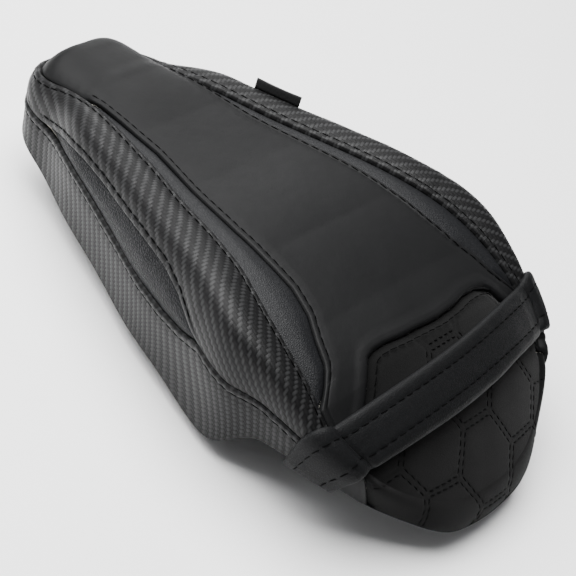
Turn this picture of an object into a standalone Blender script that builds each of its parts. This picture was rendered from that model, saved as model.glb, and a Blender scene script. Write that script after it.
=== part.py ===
"""Pillion seat for a sports motorcycle: moulded pan, foam cushion, sewn cover, grab strap.

Frame: metres, +Y towards the nose (front), +X the seat's right side, +Z up.
The four rubber feet under the pan stand on z = 0.  Lengths below are in millimetres.
"""
import math

import bmesh
import bpy
import numpy as np

MM = 0.001
UP = np.array([0.0, 0.0, 1.0])

# ---------------------------------------------------------------- driving dimensions
MID_Y = 180.2            # half the length: the frame's origin is below this point
COVER_THICK = 1.2        # cover panels
COVER_GAP = 0.3          # clearance left at every seam between two cover panels
FOAM_DEPTH = 2.1         # foam skin below the outside of the cover
PAN_THICK = 3.0
PAN_INSET = 2.4          # pan edge inside the cover's bottom edge
PAN_LIFT = 1.8           # pan edge above the cover's bottom edge
FLANGE = 11.0            # flat margin of the pan that the hem is stapled to
FLANK = 14.0             # width of the slope from that margin up to the floor
FOOT_RADIUS = 10.5
FOOT_HEIGHT = 9.0
STRAP_WIDTH = 31.0
STRAP_THICK = 6.0
STRAP_CLEAR = 0.6        # strap above the cover
STRAP_SLANT = 12.0       # how far towards the tail the strap's ends run on the side wall
LEG_THICK = 4.0

# Right half of the shoulder line (upper edge of the carbon-look band), tail to nose.
SHOULDER = [
    (0.0, 2.5, 66.0),      # tail centre
    (21.0, 4.0, 67.5),
    (33.5, 12.5, 70.0),    # tail corner
    (36.5, 38.0, 76.5),
    (42.5, 70.0, 82.5),
    (54.5, 115.0, 87.0),
    (66.0, 149.0, 90.5),
    (80.5, 198.0, 94.5),   # highest
    (88.0, 221.0, 92.5),
    (92.5, 238.0, 89.0),
    (95.5, 256.0, 83.5),
    (97.5, 276.0, 75.0),
    (98.5, 294.0, 64.5),   # under the strap
    (85.5, 319.0, 51.0),
    (61.0, 339.0, 39.5),
    (38.0, 349.0, 34.0),   # nose corner
    (19.0, 353.0, 32.0),
    (0.0, 354.0, 32.0),    # nose centre
]
# Right half of the cover's bottom edge, station for station with the shoulder line.
HEM = [
    (0.0, 3.5, 37.0),
    (23.0, 6.0, 35.0),
    (36.5, 16.5, 31.0),
    (43.0, 40.0, 24.0),
    (53.0, 70.0, 19.0),
    (67.5, 115.0, 15.0),
    (80.5, 150.0, 12.5),
    (94.5, 198.0, 11.0),
    (102.5, 231.0, 9.5),   # hip, the lowest part of the skirt
    (105.5, 245.0, 19.0),
    (105.5, 258.0, 33.0),  # step up in front of the hip
    (106.0, 276.0, 39.5),
    (104.5, 296.0, 43.0),
    (87.0, 320.0, 33.5),
    (61.5, 343.0, 23.5),
    (39.5, 356.5, 17.0),
    (20.0, 360.0, 14.5),
    (0.0, 361.0, 14.0),
]
TAIL_CORNER = 2          # stations where the sides turn into the tail and the nose
NOSE_CORNER = 15

# Side wall, as shares of its height: how far its curve leans out and rises at each end.
HEM_LEAN = 0.06
HEM_RISE = 0.42
SHOULDER_LEAN = 0.2325
SHOULDER_RISE = -0.0925
BULGE_LEAN = 0.40        # added at the shoulder along the sides
BULGE_RISE = 0.30
BULGE_GROW = 70.0        # distance past the tail corner over which the bulge grows
HIP_FROM = 220.0         # distance from the tail centre where it grows again for the hip
HIP_GROW = 90.0
HIP_MORE = 0.40
BULGE_FADE_FROM = 342.0  # distance from the tail centre where it starts to fade
BULGE_FADE = 62.0

# Height of the padding above the straight line between the shoulders: (y, height).
CROWN = [(0, 15.0), (10, 16.0), (22, 13.5), (50, 9.0), (90, 5.5), (140, 4.5), (200, 5.0),
         (250, 10.0), (285, 17.0), (315, 16.0), (340, 7.0), (354, 4.0)]
CROWN_POWER = 2.4
CROWN_TAIL = 0.045       # share of the length over which the padding rises at each end
CROWN_NOSE = 0.12

# Pan floor height: (y, z).
FLOOR = [(0, 46.0), (60, 39.0), (120, 32.0), (235, 32.0), (275, 44.0),
         (300, 48.0), (325, 42.0), (362, 26.0)]

# Seams on the side wall: (distance along the shoulder from the tail centre, height 0..1).
INSERT_TOP = [(50, 0.42), (84, 0.51), (112, 0.56), (181, 0.58), (208, 0.57), (227, 0.52), (246, 0.43)]
SKIRT_TOP = [(0, 0.41), (50, 0.42), (97, 0.41), (141, 0.36), (192, 0.33), (215, 0.33), (232, 0.36),
             (247, 0.43), (272, 0.38), (303, 0.36), (345, 0.42)]
INSERT_START = 50.0
INSERT_END = 246.5
BAND_END = 345.0         # bands stop under the strap
LEG_END = 356.0          # the centre panel's legs end here, the nose panel begins

# Seam between centre panel and leather wedge: (position along the side 0..1, width 0..1).
WEDGE = [(0.09, 1.0), (0.13, 0.91), (0.18, 0.86), (0.26, 0.79), (0.35, 0.80), (0.45, 0.79),
         (0.52, 0.755), (0.575, 0.725), (0.62, 0.745), (0.657, 0.81), (0.69, 0.90), (0.708, 1.0)]
WEDGE_START = 0.09
WEDGE_END = 0.708
NOSE_SEAM = 0.712        # rear edge of the nose panel, position along the side
NOSE_HALF = 0.54         # half width of that rear edge


# ---------------------------------------------------------------- curves and surface
def spline(points, knots, at):
    """Natural cubic spline through points at knots."""
    count = len(knots)
    step = np.diff(knots)
    matrix = np.eye(count)
    right = np.zeros((count, points.shape[1]))
    for i in range(1, count - 1):
        matrix[i, i - 1] = step[i - 1]
        matrix[i, i] = 2.0 * (step[i - 1] + step[i])
        matrix[i, i + 1] = step[i]
        after = (points[i + 1] - points[i]) / step[i]
        before = (points[i] - points[i - 1]) / step[i - 1]
        right[i] = 6.0 * (after - before)
    bend = np.linalg.solve(matrix, right)
    cell = np.clip(np.searchsorted(knots, at, side="right") - 1, 0, count - 2)
    width = step[cell]
    b = (at - knots[cell]) / width
    a = 1.0 - b
    curve = a[..., None] * points[cell] + b[..., None] * points[cell + 1]
    curve += ((a ** 3 - a)[..., None] * bend[cell]
              + (b ** 3 - b)[..., None] * bend[cell + 1]) * (width ** 2)[..., None] / 6.0
    return curve


def mirrored_ring(half):
    """Left side, tail, right side, with three stations repeated past the nose at both ends."""
    half = np.array(half, float)
    flip = np.array([-1.0, 1.0, 1.0])
    return np.vstack([half[-4:-1], half[:0:-1] * flip, half, half[-2:-5:-1] * flip])


SHOULDER_RING = mirrored_ring(SHOULDER)
HEM_RING = mirrored_ring(HEM)
TAIL_INDEX = 3 + len(SHOULDER) - 1
_lengths = np.linalg.norm(np.diff(SHOULDER_RING, axis=0), axis=1)
RING_KNOTS = np.concatenate([[0.0], np.cumsum(_lengths)])
RING_KNOTS = RING_KNOTS - RING_KNOTS[TAIL_INDEX]
V_TAIL = RING_KNOTS[TAIL_INDEX + TAIL_CORNER]
V_NOSE = RING_KNOTS[TAIL_INDEX + NOSE_CORNER]
V_END = RING_KNOTS[TAIL_INDEX + len(SHOULDER) - 1]


def wrap(v):
    """Distance along the ring brought back to -V_END .. V_END."""
    return (np.asarray(v, float) + V_END) % (2.0 * V_END) - V_END


def shoulder(v):
    return spline(SHOULDER_RING, RING_KNOTS, wrap(v))


def hem(v):
    return spline(HEM_RING, RING_KNOTS, wrap(v))


def unit(vectors):
    return vectors / np.linalg.norm(vectors, axis=-1, keepdims=True)


def outward(v):
    """Level direction pointing away from the seat, square to the shoulder line."""
    along = shoulder(np.asarray(v) + 0.5) - shoulder(np.asarray(v) - 0.5)
    return unit(np.stack([along[..., 1], -along[..., 0], 0.0 * along[..., 0]], -1))


def ramp(x):
    x = np.clip(x, 0.0, 1.0)
    return x * x * (3.0 - 2.0 * x)


def fullness(v):
    """How far the side bulges: none round the tail and the nose, 1 along the sides."""
    size = np.abs(wrap(v))
    hip = 1.0 + HIP_MORE * ramp((size - HIP_FROM) / HIP_GROW)
    fade = 1.0 - ramp((size - BULGE_FADE_FROM) / BULGE_FADE)
    return ramp((size - V_TAIL) / BULGE_GROW) * hip * fade


def wall(v, s):
    """Side wall: s = 0 at the bottom edge, s = 1 at the shoulder."""
    v, s = np.broadcast_arrays(np.asarray(v, float), np.asarray(s, float))
    low = hem(v)
    high = shoulder(v)
    out = outward(v)
    rise = (high[..., 2] - low[..., 2])[..., None]
    s = s[..., None]
    full = fullness(v)[..., None]
    pull_low = low + (HEM_LEAN * out + HEM_RISE * UP) * rise
    pull_high = high + ((SHOULDER_LEAN + BULGE_LEAN * full) * out
                        + (SHOULDER_RISE + BULGE_RISE * full) * UP) * rise
    return ((1 - s) ** 3 * low + 3 * (1 - s) ** 2 * s * pull_low
            + 3 * (1 - s) * s * s * pull_high + s ** 3 * high)


def side_v(w):
    return V_TAIL + (V_NOSE - V_TAIL) * np.asarray(w, float)


def side_w(v):
    return (np.asarray(v, float) - V_TAIL) / (V_NOSE - V_TAIL)


def coons(ring, u, w):
    """Surface spanned by a closed ring: u across (-1 left .. 1 right), w from tail to nose."""
    u, w = np.broadcast_arrays(np.asarray(u, float), np.asarray(w, float))
    right = ring(side_v(w))
    left = ring(-side_v(w))
    tail = ring(V_TAIL * u)
    nose = ring(V_END - (V_END - V_NOSE) * u)
    a = ((1.0 + u) / 2.0)[..., None]
    b = w[..., None]
    one = np.ones_like(u)
    corners = ((1 - a) * (1 - b) * ring(-V_TAIL * one) + a * (1 - b) * ring(V_TAIL * one)
               + (1 - a) * b * ring(-V_NOSE * one) + a * b * ring(V_NOSE * one))
    return (1 - a) * left + a * right + (1 - b) * tail + b * nose - corners


def graph(table, at):
    """Straight lines through a short table of (position, value)."""
    return np.interp(at, [row[0] for row in table], [row[1] for row in table])


def top(u, w):
    """Upper surface of the seat."""
    u, w = np.broadcast_arrays(np.asarray(u, float), np.asarray(w, float))
    points = coons(shoulder, u, w)
    at_tail = 1.0 - (1.0 - np.minimum(w / CROWN_TAIL, 1.0)) ** 3
    at_nose = 1.0 - (1.0 - np.minimum((1.0 - w) / CROWN_NOSE, 1.0)) ** 2
    height = graph(CROWN, points[..., 1]) * (1.0 - np.abs(u) ** CROWN_POWER)
    points[..., 2] += height * at_tail * at_nose
    return points


def wall_normal(v, s):
    along = wall(v + 0.4, s) - wall(v - 0.4, s)
    rising = wall(v, np.minimum(s + 0.01, 1.0)) - wall(v, np.maximum(s - 0.01, 0.0))
    return unit(np.cross(along, rising))


def top_normal_raw(u, w):
    across = top(np.minimum(u + 0.01, 1.0), w) - top(np.maximum(u - 0.01, -1.0), w)
    along = top(u, np.minimum(w + 0.004, 1.0)) - top(u, np.maximum(w - 0.004, 0.0))
    return unit(np.cross(across, along))


def edge_place(v):
    """Where the shoulder point at v lies on the upper surface."""
    v = wrap(v)
    size = np.abs(v)
    side = np.sign(v)
    past_corner = side * (V_END - size) / (V_END - V_NOSE)
    u = np.where(size < V_TAIL, v / V_TAIL, np.where(size < V_NOSE, side, past_corner))
    w = np.clip(side_w(size), 0.0, 1.0)
    return u, w


def edge_normal(v):
    """Common normal of the wall and the upper surface at the shoulder."""
    u, w = edge_place(v)
    inside = top_normal_raw(u * 0.97, 0.5 + (w - 0.5) * 0.98)
    return unit(inside + wall_normal(wrap(v), np.full_like(np.asarray(v, float), 0.97)))


def top_normal(u, w):
    u, w = np.broadcast_arrays(np.asarray(u, float), np.asarray(w, float))
    normal = top_normal_raw(u, w)
    near_side = ramp((np.abs(u) - 0.95) / 0.04)
    near_end = np.maximum(ramp((0.02 - w) / 0.015), ramp((w - 0.98) / 0.015))
    side_edge = edge_normal(np.where(u < 0, -1.0, 1.0) * side_v(w))
    end_v = np.where(w < 0.5, V_TAIL * u, V_END - (V_END - V_NOSE) * u)
    end_edge = edge_normal(end_v)
    blend = np.where((near_end > near_side)[..., None], end_edge, side_edge)
    weight = np.maximum(near_side, near_end)[..., None]
    return unit(normal * (1.0 - weight) + blend * weight)


def wall_normal_blend(v, s):
    v, s = np.broadcast_arrays(np.asarray(v, float), np.asarray(s, float))
    weight = ramp((s - 0.95) / 0.04)[..., None]
    return unit(wall_normal(v, s) * (1.0 - weight) + edge_normal(v) * weight)


# ---------------------------------------------------------------- mesh helpers
def material(name, colour, roughness, metallic=0.0):
    mat = bpy.data.materials.new(name)
    mat.use_nodes = True
    shader = mat.node_tree.nodes["Principled BSDF"]
    shader.inputs["Base Color"].default_value = (*colour, 1.0)
    shader.inputs["Roughness"].default_value = roughness
    shader.inputs["Metallic"].default_value = metallic
    mat.diffuse_color = (*colour, 1.0)
    return mat


def add_object(name, verts, faces, colour, roughness, metallic=0.0, smooth=True):
    """One closed body, given in millimetres, with its own material."""
    mesh = bpy.data.meshes.new(name)
    origin = np.array([0.0, MID_Y, 0.0])
    mesh.from_pydata([tuple((np.asarray(v) - origin) * MM) for v in verts], [], faces)
    mesh.validate()
    obj = bpy.data.objects.new(name, mesh)
    bpy.context.scene.collection.objects.link(obj)
    mesh.materials.append(material(name + "_mat", colour, roughness, metallic))
    for polygon in mesh.polygons:
        polygon.use_smooth = smooth
    if smooth:
        mesh.set_sharp_from_angle(angle=math.radians(35.0))
    turn_outward(mesh)
    return obj


def turn_outward(mesh):
    work = bmesh.new()
    work.from_mesh(mesh)
    bmesh.ops.recalc_face_normals(work, faces=work.faces)
    if work.calc_volume(signed=True) < 0:
        bmesh.ops.reverse_faces(work, faces=work.faces)
    work.to_mesh(mesh)
    work.free()


class Weld:
    """Collects grids of points and joins the ones that coincide."""

    def __init__(self):
        self.points = []
        self.normals = []
        self.where = {}
        self.faces = []

    def index(self, point, normal):
        key = tuple(int(round(c * 1000.0)) for c in point)
        if key not in self.where:
            self.where[key] = len(self.points)
            self.points.append(np.array(point, float))
            self.normals.append(np.zeros(3))
        place = self.where[key]
        self.normals[place] = self.normals[place] + normal
        return place

    def grid(self, points, normals, triangles=False):
        rows, cols = points.shape[:2]
        ids = [[self.index(points[r, c], normals[r, c]) for c in range(cols)] for r in range(rows)]
        for r in range(rows - 1):
            for c in range(cols - 1):
                corners = [ids[r][c], ids[r + 1][c], ids[r + 1][c + 1], ids[r][c + 1]]
                if triangles:
                    self.face(corners[:3])
                    self.face([corners[0], corners[2], corners[3]])
                else:
                    self.face(corners)

    def face(self, corners):
        loop = [c for i, c in enumerate(corners) if c != corners[i - 1]]
        if len(set(loop)) == len(loop) and len(loop) > 2:
            self.faces.append(loop)

    def border(self):
        """Edges with a face on one side only, in that face's direction."""
        count = {}
        for face in self.faces:
            for a, b in zip(face, face[1:] + face[:1]):
                count.setdefault(frozenset((a, b)), []).append((a, b))
        return [uses[0] for uses in count.values() if len(uses) == 1]

    def thick(self, depth):
        """Closed body between these faces and a copy of them set depth below."""
        normals = [unit(n) for n in self.normals]
        size = len(self.points)
        verts = self.points + [p - n * depth for p, n in zip(self.points, normals)]
        faces = [list(f) for f in self.faces]
        faces += [[i + size for i in reversed(f)] for f in self.faces]
        faces += [[b, a, a + size, b + size] for a, b in self.border()]
        return verts, faces


def top_patch(u, w):
    return top(u, w), top_normal(u, w)


def wall_patch(v, s):
    return wall(v, s), wall_normal_blend(v, s)


def samples(start, stop, count):
    return np.linspace(start, stop, count)


def lathe(profile, sides=32, hexagon_until=None):
    """Closed body of revolution about Z from (radius, z) rows; the first rows can be hexagonal."""
    verts = []
    faces = []
    angles = [2.0 * math.pi * i / sides for i in range(sides)]
    for row, (radius, z) in enumerate(profile):
        for angle in angles:
            reach = radius
            if hexagon_until is not None and row < hexagon_until:
                sector = (angle + math.pi / 6.0) % (math.pi / 3.0) - math.pi / 6.0
                reach = radius / math.cos(sector)
            verts.append((reach * math.cos(angle), reach * math.sin(angle), z))
    for row in range(len(profile) - 1):
        for i in range(sides):
            j = (i + 1) % sides
            a = row * sides
            faces.append([a + i, a + j, a + sides + j, a + sides + i])
    faces.append(list(range(sides))[::-1])
    last = (len(profile) - 1) * sides
    faces.append([last + i for i in range(sides)])
    return verts, faces


def moved(verts, offset, turn=None):
    turn = np.eye(3) if turn is None else turn
    return [turn @ np.asarray(v, float) + np.asarray(offset, float) for v in verts]


def box(size, centre):
    half = np.asarray(size, float) / 2.0
    verts = [np.array([x, y, z]) * half + centre for x in (-1, 1) for y in (-1, 1) for z in (-1, 1)]
    faces = [[0, 1, 3, 2], [4, 6, 7, 5], [0, 4, 5, 1], [2, 3, 7, 6], [0, 2, 6, 4], [1, 5, 7, 3]]
    return verts, faces


def sweep(centres, wides, thicks, section):
    """Closed body: a section of (across, through) pairs carried along a path."""
    verts = []
    faces = []
    count = len(section)
    for centre, wide, thick in zip(centres, wides, thicks):
        for across, through in section:
            verts.append(centre + wide * across + thick * through)
    for row in range(len(centres) - 1):
        for i in range(count):
            j = (i + 1) % count
            a = row * count
            faces.append([a + i, a + j, a + count + j, a + count + i])
    faces.append(list(range(count))[::-1])
    last = (len(centres) - 1) * count
    faces.append([last + i for i in range(count)])
    return verts, faces


def boolean(target, cutter, operation):
    change = target.modifiers.new(cutter.name, "BOOLEAN")
    change.operation = operation
    change.object = cutter
    change.solver = "EXACT"
    cutter.hide_render = True
    cutter.display_type = "WIRE"


# ---------------------------------------------------------------- cover panels
VINYL = ((0.020, 0.021, 0.022), 0.55)
LEATHER = ((0.015, 0.016, 0.019), 0.50)
CARBON = ((0.026, 0.026, 0.027), 0.30)
SUEDE = ((0.010, 0.010, 0.010), 0.90)
STRAP_LEATHER = ((0.015, 0.016, 0.017), 0.50)

EDGE_U = COVER_GAP / 200.0     # a seam gap as a share of the seat's width
EDGE_S = COVER_GAP / 120.0     # and of the wall's height


# Stations along a side, shared by the panels that meet at the shoulder.
SIDE_W = np.array([0.0, 0.006, 0.012, 0.020, 0.03, 0.042, 0.055, 0.072, 0.09, 0.108, 0.13, 0.18, 0.22, 0.26,
                   0.305, 0.35, 0.40, 0.45, 0.49, 0.52, 0.55, 0.575, 0.60, 0.62, 0.64, 0.657, 0.69, 0.698, NOSE_SEAM])


def build_centre_panel():
    """Vinyl centre: tail, seat top and the two narrow legs down beside the nose panel."""
    weld = Weld()
    rows = np.concatenate([[0.0015], SIDE_W[1:]])
    split = np.array([1.0, 0.9, 0.8, 0.7])
    weld.grid(*centre_rows(rows, split))
    for side in (-1.0, 1.0):
        leg_strip(weld, side, split)
    verts, faces = weld.thick(COVER_THICK)
    add_object("centre_panel", verts, faces, *VINYL)


def centre_rows(w, split):
    """Rows across the centre panel from seam to seam at the given lengths."""
    limit = np.where(w < WEDGE_START, 1.0, np.where(w > WEDGE_END, 1.0, graph(WEDGE, w))) - 3.0 * EDGE_U
    share = (split - split[-1]) / (split[0] - split[-1])
    outer = NOSE_HALF + (limit[:, None] - NOSE_HALF) * share[None, :]
    middle = np.linspace(NOSE_HALF, -NOSE_HALF, 11)[1:-1]
    u = np.hstack([outer, np.tile(middle, (len(w), 1)), -outer[:, ::-1]])
    return top_patch(u, np.tile(w[:, None], (1, u.shape[1])))


def leg_strip(weld, side, split):
    """Narrow strip between the band's end and the nose panel, over the shoulder to the hem."""
    share = (split - split[-1]) / (split[0] - split[-1])
    inner_u = np.array([NOSE_HALF, 0.60, 0.71, 0.85, 1.0])
    inner_w = np.array([NOSE_SEAM, 0.727, 0.758, 0.790, side_w(LEG_END)])
    start_outer = 1.0 - 3.0 * EDGE_U
    outer_u = np.array([start_outer, 1.0 - 2.0 * EDGE_U, 1.0 - 2.0 * EDGE_U, 1.0 - EDGE_U, 1.0])
    outer_w = np.array([NOSE_SEAM, 0.727, 0.750, 0.775, side_w(BAND_END + 1.0)])
    u = inner_u[:, None] + (outer_u - inner_u)[:, None] * share[None, :]
    w = inner_w[:, None] + (outer_w - inner_w)[:, None] * share[None, :]
    weld.grid(*top_patch(side * u, w))
    s = samples(1.0, 0.0, 7)
    v = LEG_END + (BAND_END + 1.0 - LEG_END) * share
    points, normals = wall_patch(side * np.tile(v, (len(s), 1)), np.tile(s[:, None], (1, len(v))))
    weld.grid(points, normals)


def build_wedge(name, side):
    """Leather wedge between the centre panel and the carbon-look band."""
    weld = Weld()
    w = SIDE_W[(SIDE_W > WEDGE_START + 0.01) & (SIDE_W < WEDGE_END)]
    inner = graph(WEDGE, w) + 2.0 * EDGE_U
    outer = np.full_like(w, 1.0 - 2.0 * EDGE_U)
    share = samples(0.0, 1.0, 4)
    u = inner[:, None] + (outer - inner)[:, None] * share[None, :]
    weld.grid(*top_patch(side * u, np.tile(w[:, None], (1, len(share)))))
    verts, faces = weld.thick(COVER_THICK)
    add_object(name, verts, faces, *LEATHER)


RING_TAIL = np.array([0.01, 0.108, 0.216, 0.324, 0.432, 0.54, 0.69, 0.843])


def band_v():
    """Stations along one side from the tail centre to the strap."""
    under_strap = side_v(np.array([0.74, 0.77]))
    return np.concatenate([RING_TAIL * V_TAIL, side_v(SIDE_W), under_strap, [BAND_END - 0.6]])


def build_band(name, side):
    """Upper carbon-look band, from the shoulder down to the insert or the skirt."""
    weld = Weld()
    v = band_v()
    beside_insert = (v > INSERT_START) & (v < INSERT_END)
    bottom = np.where(beside_insert, graph(INSERT_TOP, v), graph(SKIRT_TOP, v)) + EDGE_S
    share = samples(0.0, 1.0, 6)
    s = bottom[:, None] + (1.0 - 2.0 * EDGE_S - bottom)[:, None] * share[None, :]
    weld.grid(*wall_patch(side * np.tile(v[:, None], (1, len(share))), s))
    verts, faces = weld.thick(COVER_THICK)
    add_object(name, verts, faces, *CARBON)


def build_insert(name, side):
    """Grained leather insert between the two carbon-look panels."""
    weld = Weld()
    v = band_v()
    v = np.concatenate([[INSERT_START + 7.0], v[(v > INSERT_START + 9.0) & (v < INSERT_END - 6.0)],
                        [INSERT_END - 4.0]])
    low = graph(SKIRT_TOP, v) + EDGE_S
    high = graph(INSERT_TOP, v) - EDGE_S
    share = samples(0.0, 1.0, 4)
    s = low[:, None] + (high - low)[:, None] * share[None, :]
    weld.grid(*wall_patch(side * np.tile(v[:, None], (1, len(share))), s))
    verts, faces = weld.thick(COVER_THICK)
    add_object(name, verts, faces, *LEATHER)


def build_skirt(name, side):
    """Lower carbon-look skirt, from the insert's seam down to the bottom edge."""
    weld = Weld()
    v = band_v()
    high = graph(SKIRT_TOP, v) - EDGE_S
    share = samples(0.0, 1.0, 5)
    s = high[:, None] * share[None, :]
    weld.grid(*wall_patch(side * np.tile(v[:, None], (1, len(share))), s))
    verts, faces = weld.thick(COVER_THICK)
    add_object(name, verts, faces, *CARBON)


def build_nose_panel():
    """Quilted suede panel over the nose, from its rear edge down to the hem in front."""
    weld = Weld()
    behind_w = np.array([NOSE_SEAM + EDGE_S, 0.727, 0.758, 0.790])
    front_w = np.array([side_w(LEG_END + 0.6), 0.85, 0.87, 0.89, 0.91, 0.93, 0.95, 0.98, 1.0])
    w = np.concatenate([behind_w, front_w])
    reach = np.concatenate([np.array([NOSE_HALF, 0.60, 0.71, 0.85]) - EDGE_U, np.ones_like(front_w)])
    share = samples(1.0, -1.0, 13)
    u = reach[:, None] * share[None, :]
    weld.grid(*top_patch(u, np.tile(w[:, None], (1, len(share)))))
    right = side_v(front_w)
    front = V_END - (V_END - V_NOSE) * share[1:-1]
    v = np.concatenate([right, front, 2.0 * V_END - right[::-1]])
    s = samples(1.0, 0.0, 7)
    points, normals = wall_patch(wrap(np.tile(v[:, None], (1, len(s)))), np.tile(s, (len(v), 1)))
    weld.grid(points, normals)
    verts, faces = weld.thick(COVER_THICK)
    add_object("nose_grip_panel", verts, faces, *SUEDE)


# ---------------------------------------------------------------- foam, pan and hem
HALF_U = np.array([1.0, 0.93, 0.86, 0.78, 0.66, 0.5, 0.3, 0.1])
GRID_U = np.concatenate([HALF_U, -HALF_U[::-1]])
GRID_W = np.array([0.0, 0.02, 0.04, 0.07, 0.10, 0.15, 0.2, 0.26, 0.32, 0.38, 0.44, 0.49, 0.54, 0.58,
                   0.61, 0.64, 0.67, 0.70, 0.73, 0.76, 0.79, 0.82, 0.85, 0.88, 0.91, 0.94, 0.97, 1.0])


def ring_stations():
    """Ring distances of the border of the (GRID_U, GRID_W) grid, once around."""
    right = side_v(GRID_W)
    front = V_END - (V_END - V_NOSE) * GRID_U[1:-1]
    left = 2.0 * V_END - right[::-1]
    tail = 2.0 * V_END + V_TAIL * GRID_U[::-1][1:-1]
    return np.concatenate([right, front, left, tail, [2.0 * V_END + V_TAIL]])


def pan_edge(v):
    return hem(v) - outward(wrap(v)) * PAN_INSET + UP * PAN_LIFT


def pan_under(u, w):
    """Underside of the pan: a flat margin at the edge, then a slope up to the floor."""
    u, w = np.broadcast_arrays(np.asarray(u, float), np.asarray(w, float))
    points = coons(pan_edge, u, w)
    half = coons(pan_edge, np.ones_like(u), w)[..., 0]
    length = HEM[-1][1]
    to_side = (1.0 - np.abs(u)) * half
    to_end = np.minimum(w, 1.0 - w) * length
    lift = ramp((to_side - FLANGE) / FLANK) * ramp((to_end - FLANGE) / FLANK)
    points[..., 2] += (graph(FLOOR, points[..., 1]) - points[..., 2]) * lift
    return points


def shell_height(x, y, radius):
    """Height just inside the pan's shell over a round patch of its underside."""
    u = np.tile(samples(-1.0, 1.0, 121)[None, :], (181, 1))
    w = np.tile(samples(0.0, 1.0, 181)[:, None], (1, 121))
    points = pan_under(u, w).reshape(-1, 3)
    near = np.hypot(points[:, 0] - x, points[:, 1] - y) < radius + 2.0
    return points[near, 2].min() + PAN_THICK - 0.5


def full_grid():
    u = np.tile(GRID_U[None, :], (len(GRID_W), 1))
    w = np.tile(GRID_W[:, None], (1, len(GRID_U)))
    return u, w


def build_foam():
    """Cushion: top, side wall and a base that follows the pan."""
    weld = Weld()
    u, w = full_grid()
    points, normals = top_patch(u, w)
    weld.grid(points - normals * FOAM_DEPTH, normals)
    v = ring_stations()
    low = 6.5 / (shoulder(v)[:, 2] - hem(v)[:, 2])
    share = samples(1.0, 0.0, 10)
    s = low[:, None] + (1.0 - low)[:, None] * share[None, :]
    vv = wrap(np.tile(v[:, None], (1, len(share))))
    points, normals = wall_patch(vv, s)
    inner = points - normals * FOAM_DEPTH
    weld.grid(inner, normals)
    base = pan_under(u, w) + UP * (PAN_THICK + 0.5)
    weld.grid(base, np.zeros_like(base) - UP, triangles=True)
    border = np.concatenate([base[:, 0], base[-1, 1:-1], base[::-1, -1], base[0, ::-1][1:-1], base[:1, 0]])
    strip = np.stack([inner[:, -1], border], axis=1)
    weld.grid(strip, np.zeros_like(strip))
    add_object("foam_cushion", weld.points, weld.faces, (0.30, 0.29, 0.26), 0.95)


def build_pan():
    """Moulded pan: shell, four foot pedestals, strap and bracket bosses, stiffening ribs."""
    weld = Weld()
    u, w = full_grid()
    under = pan_under(u, w)
    weld.grid(under + UP * PAN_THICK, np.zeros_like(under) + UP, triangles=True)
    verts, faces = weld.thick(PAN_THICK)
    pan = add_object("seat_pan", verts, faces, (0.025, 0.025, 0.026), 0.60)
    for index, (x, y) in enumerate(FEET):
        height = shell_height(x, y, FOOT_RADIUS) - FOOT_HEIGHT - 0.3
        verts, faces = lathe([(FOOT_RADIUS + 1.0, 0.0), (FOOT_RADIUS + 1.6, height)], 32)
        add_solid(pan, "pedestal_%d" % index, verts, faces, (x, y, FOOT_HEIGHT + 0.3), "UNION")
    for index, (x, y, low, radius) in enumerate(BOSSES):
        height = shell_height(x, y, radius) - low
        verts, faces = lathe([(radius, 0.0), (radius + 0.5, height)], 24)
        add_solid(pan, "boss_%d" % index, verts, faces, (x, y, low), "UNION")
    for index, (size, centre) in enumerate(RIBS):
        verts, faces = box(size, np.zeros(3))
        add_solid(pan, "rib_%d" % index, verts, faces, centre, "UNION")
    for index, (x, y) in enumerate(FEET):
        verts, faces = lathe([(STEM_RADIUS + 0.3, -5.0), (STEM_RADIUS + 0.3, STEM_LENGTH + 1.0)], 24)
        add_solid(pan, "stem_hole_%d" % index, verts, faces, (x, y, FOOT_HEIGHT + 0.3), "DIFFERENCE")
    for index, (x, y, low, radius) in enumerate(BOSSES):
        verts, faces = lathe([(THREAD_RADIUS + 0.3, -5.0), (THREAD_RADIUS + 0.3, BOLT_REACH + 0.6)], 24)
        add_solid(pan, "thread_hole_%d" % index, verts, faces, (x, y, low), "DIFFERENCE")
    apply_booleans(pan)


def add_solid(target, name, verts, faces, offset, operation):
    cutter = add_object("cut_" + name, moved(verts, offset), faces, (0.5, 0.5, 0.5), 0.5, smooth=False)
    boolean(target, cutter, operation)


def apply_booleans(obj):
    """Bake the modifiers into the mesh and delete the solids they used."""
    cutters = [m.object for m in obj.modifiers]
    baked = bpy.data.meshes.new_from_object(obj.evaluated_get(bpy.context.evaluated_depsgraph_get()))
    obj.modifiers.clear()
    obj.data = baked
    for cutter in cutters:
        bpy.data.objects.remove(cutter, do_unlink=True)
    own = baked.materials[0]
    baked.materials.clear()
    baked.materials.append(own)
    for polygon in baked.polygons:
        polygon.material_index = 0


def build_hem():
    """Turned-under edge of the cover, lying against the pan's flat margin all round."""
    weld = Weld()
    v = ring_stations()
    u, w = edge_place(v)
    half = np.maximum(coons(pan_edge, np.ones_like(u), w)[..., 0], 30.0)
    rows = []
    for depth in (0.3, 5.0, 10.0):
        inner_u = u * (1.0 - depth / half)
        inner_w = 0.5 + (w - 0.5) * (1.0 - 2.0 * depth / HEM[-1][1])
        rows.append(pan_under(inner_u, inner_w) - UP * 0.6)
    points = np.stack(rows, axis=1)
    weld.grid(points, np.zeros_like(points) + UP)
    verts, faces = weld.thick(1.0)
    add_object("cover_hem", verts, faces, (0.013, 0.013, 0.014), 0.70)


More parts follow.
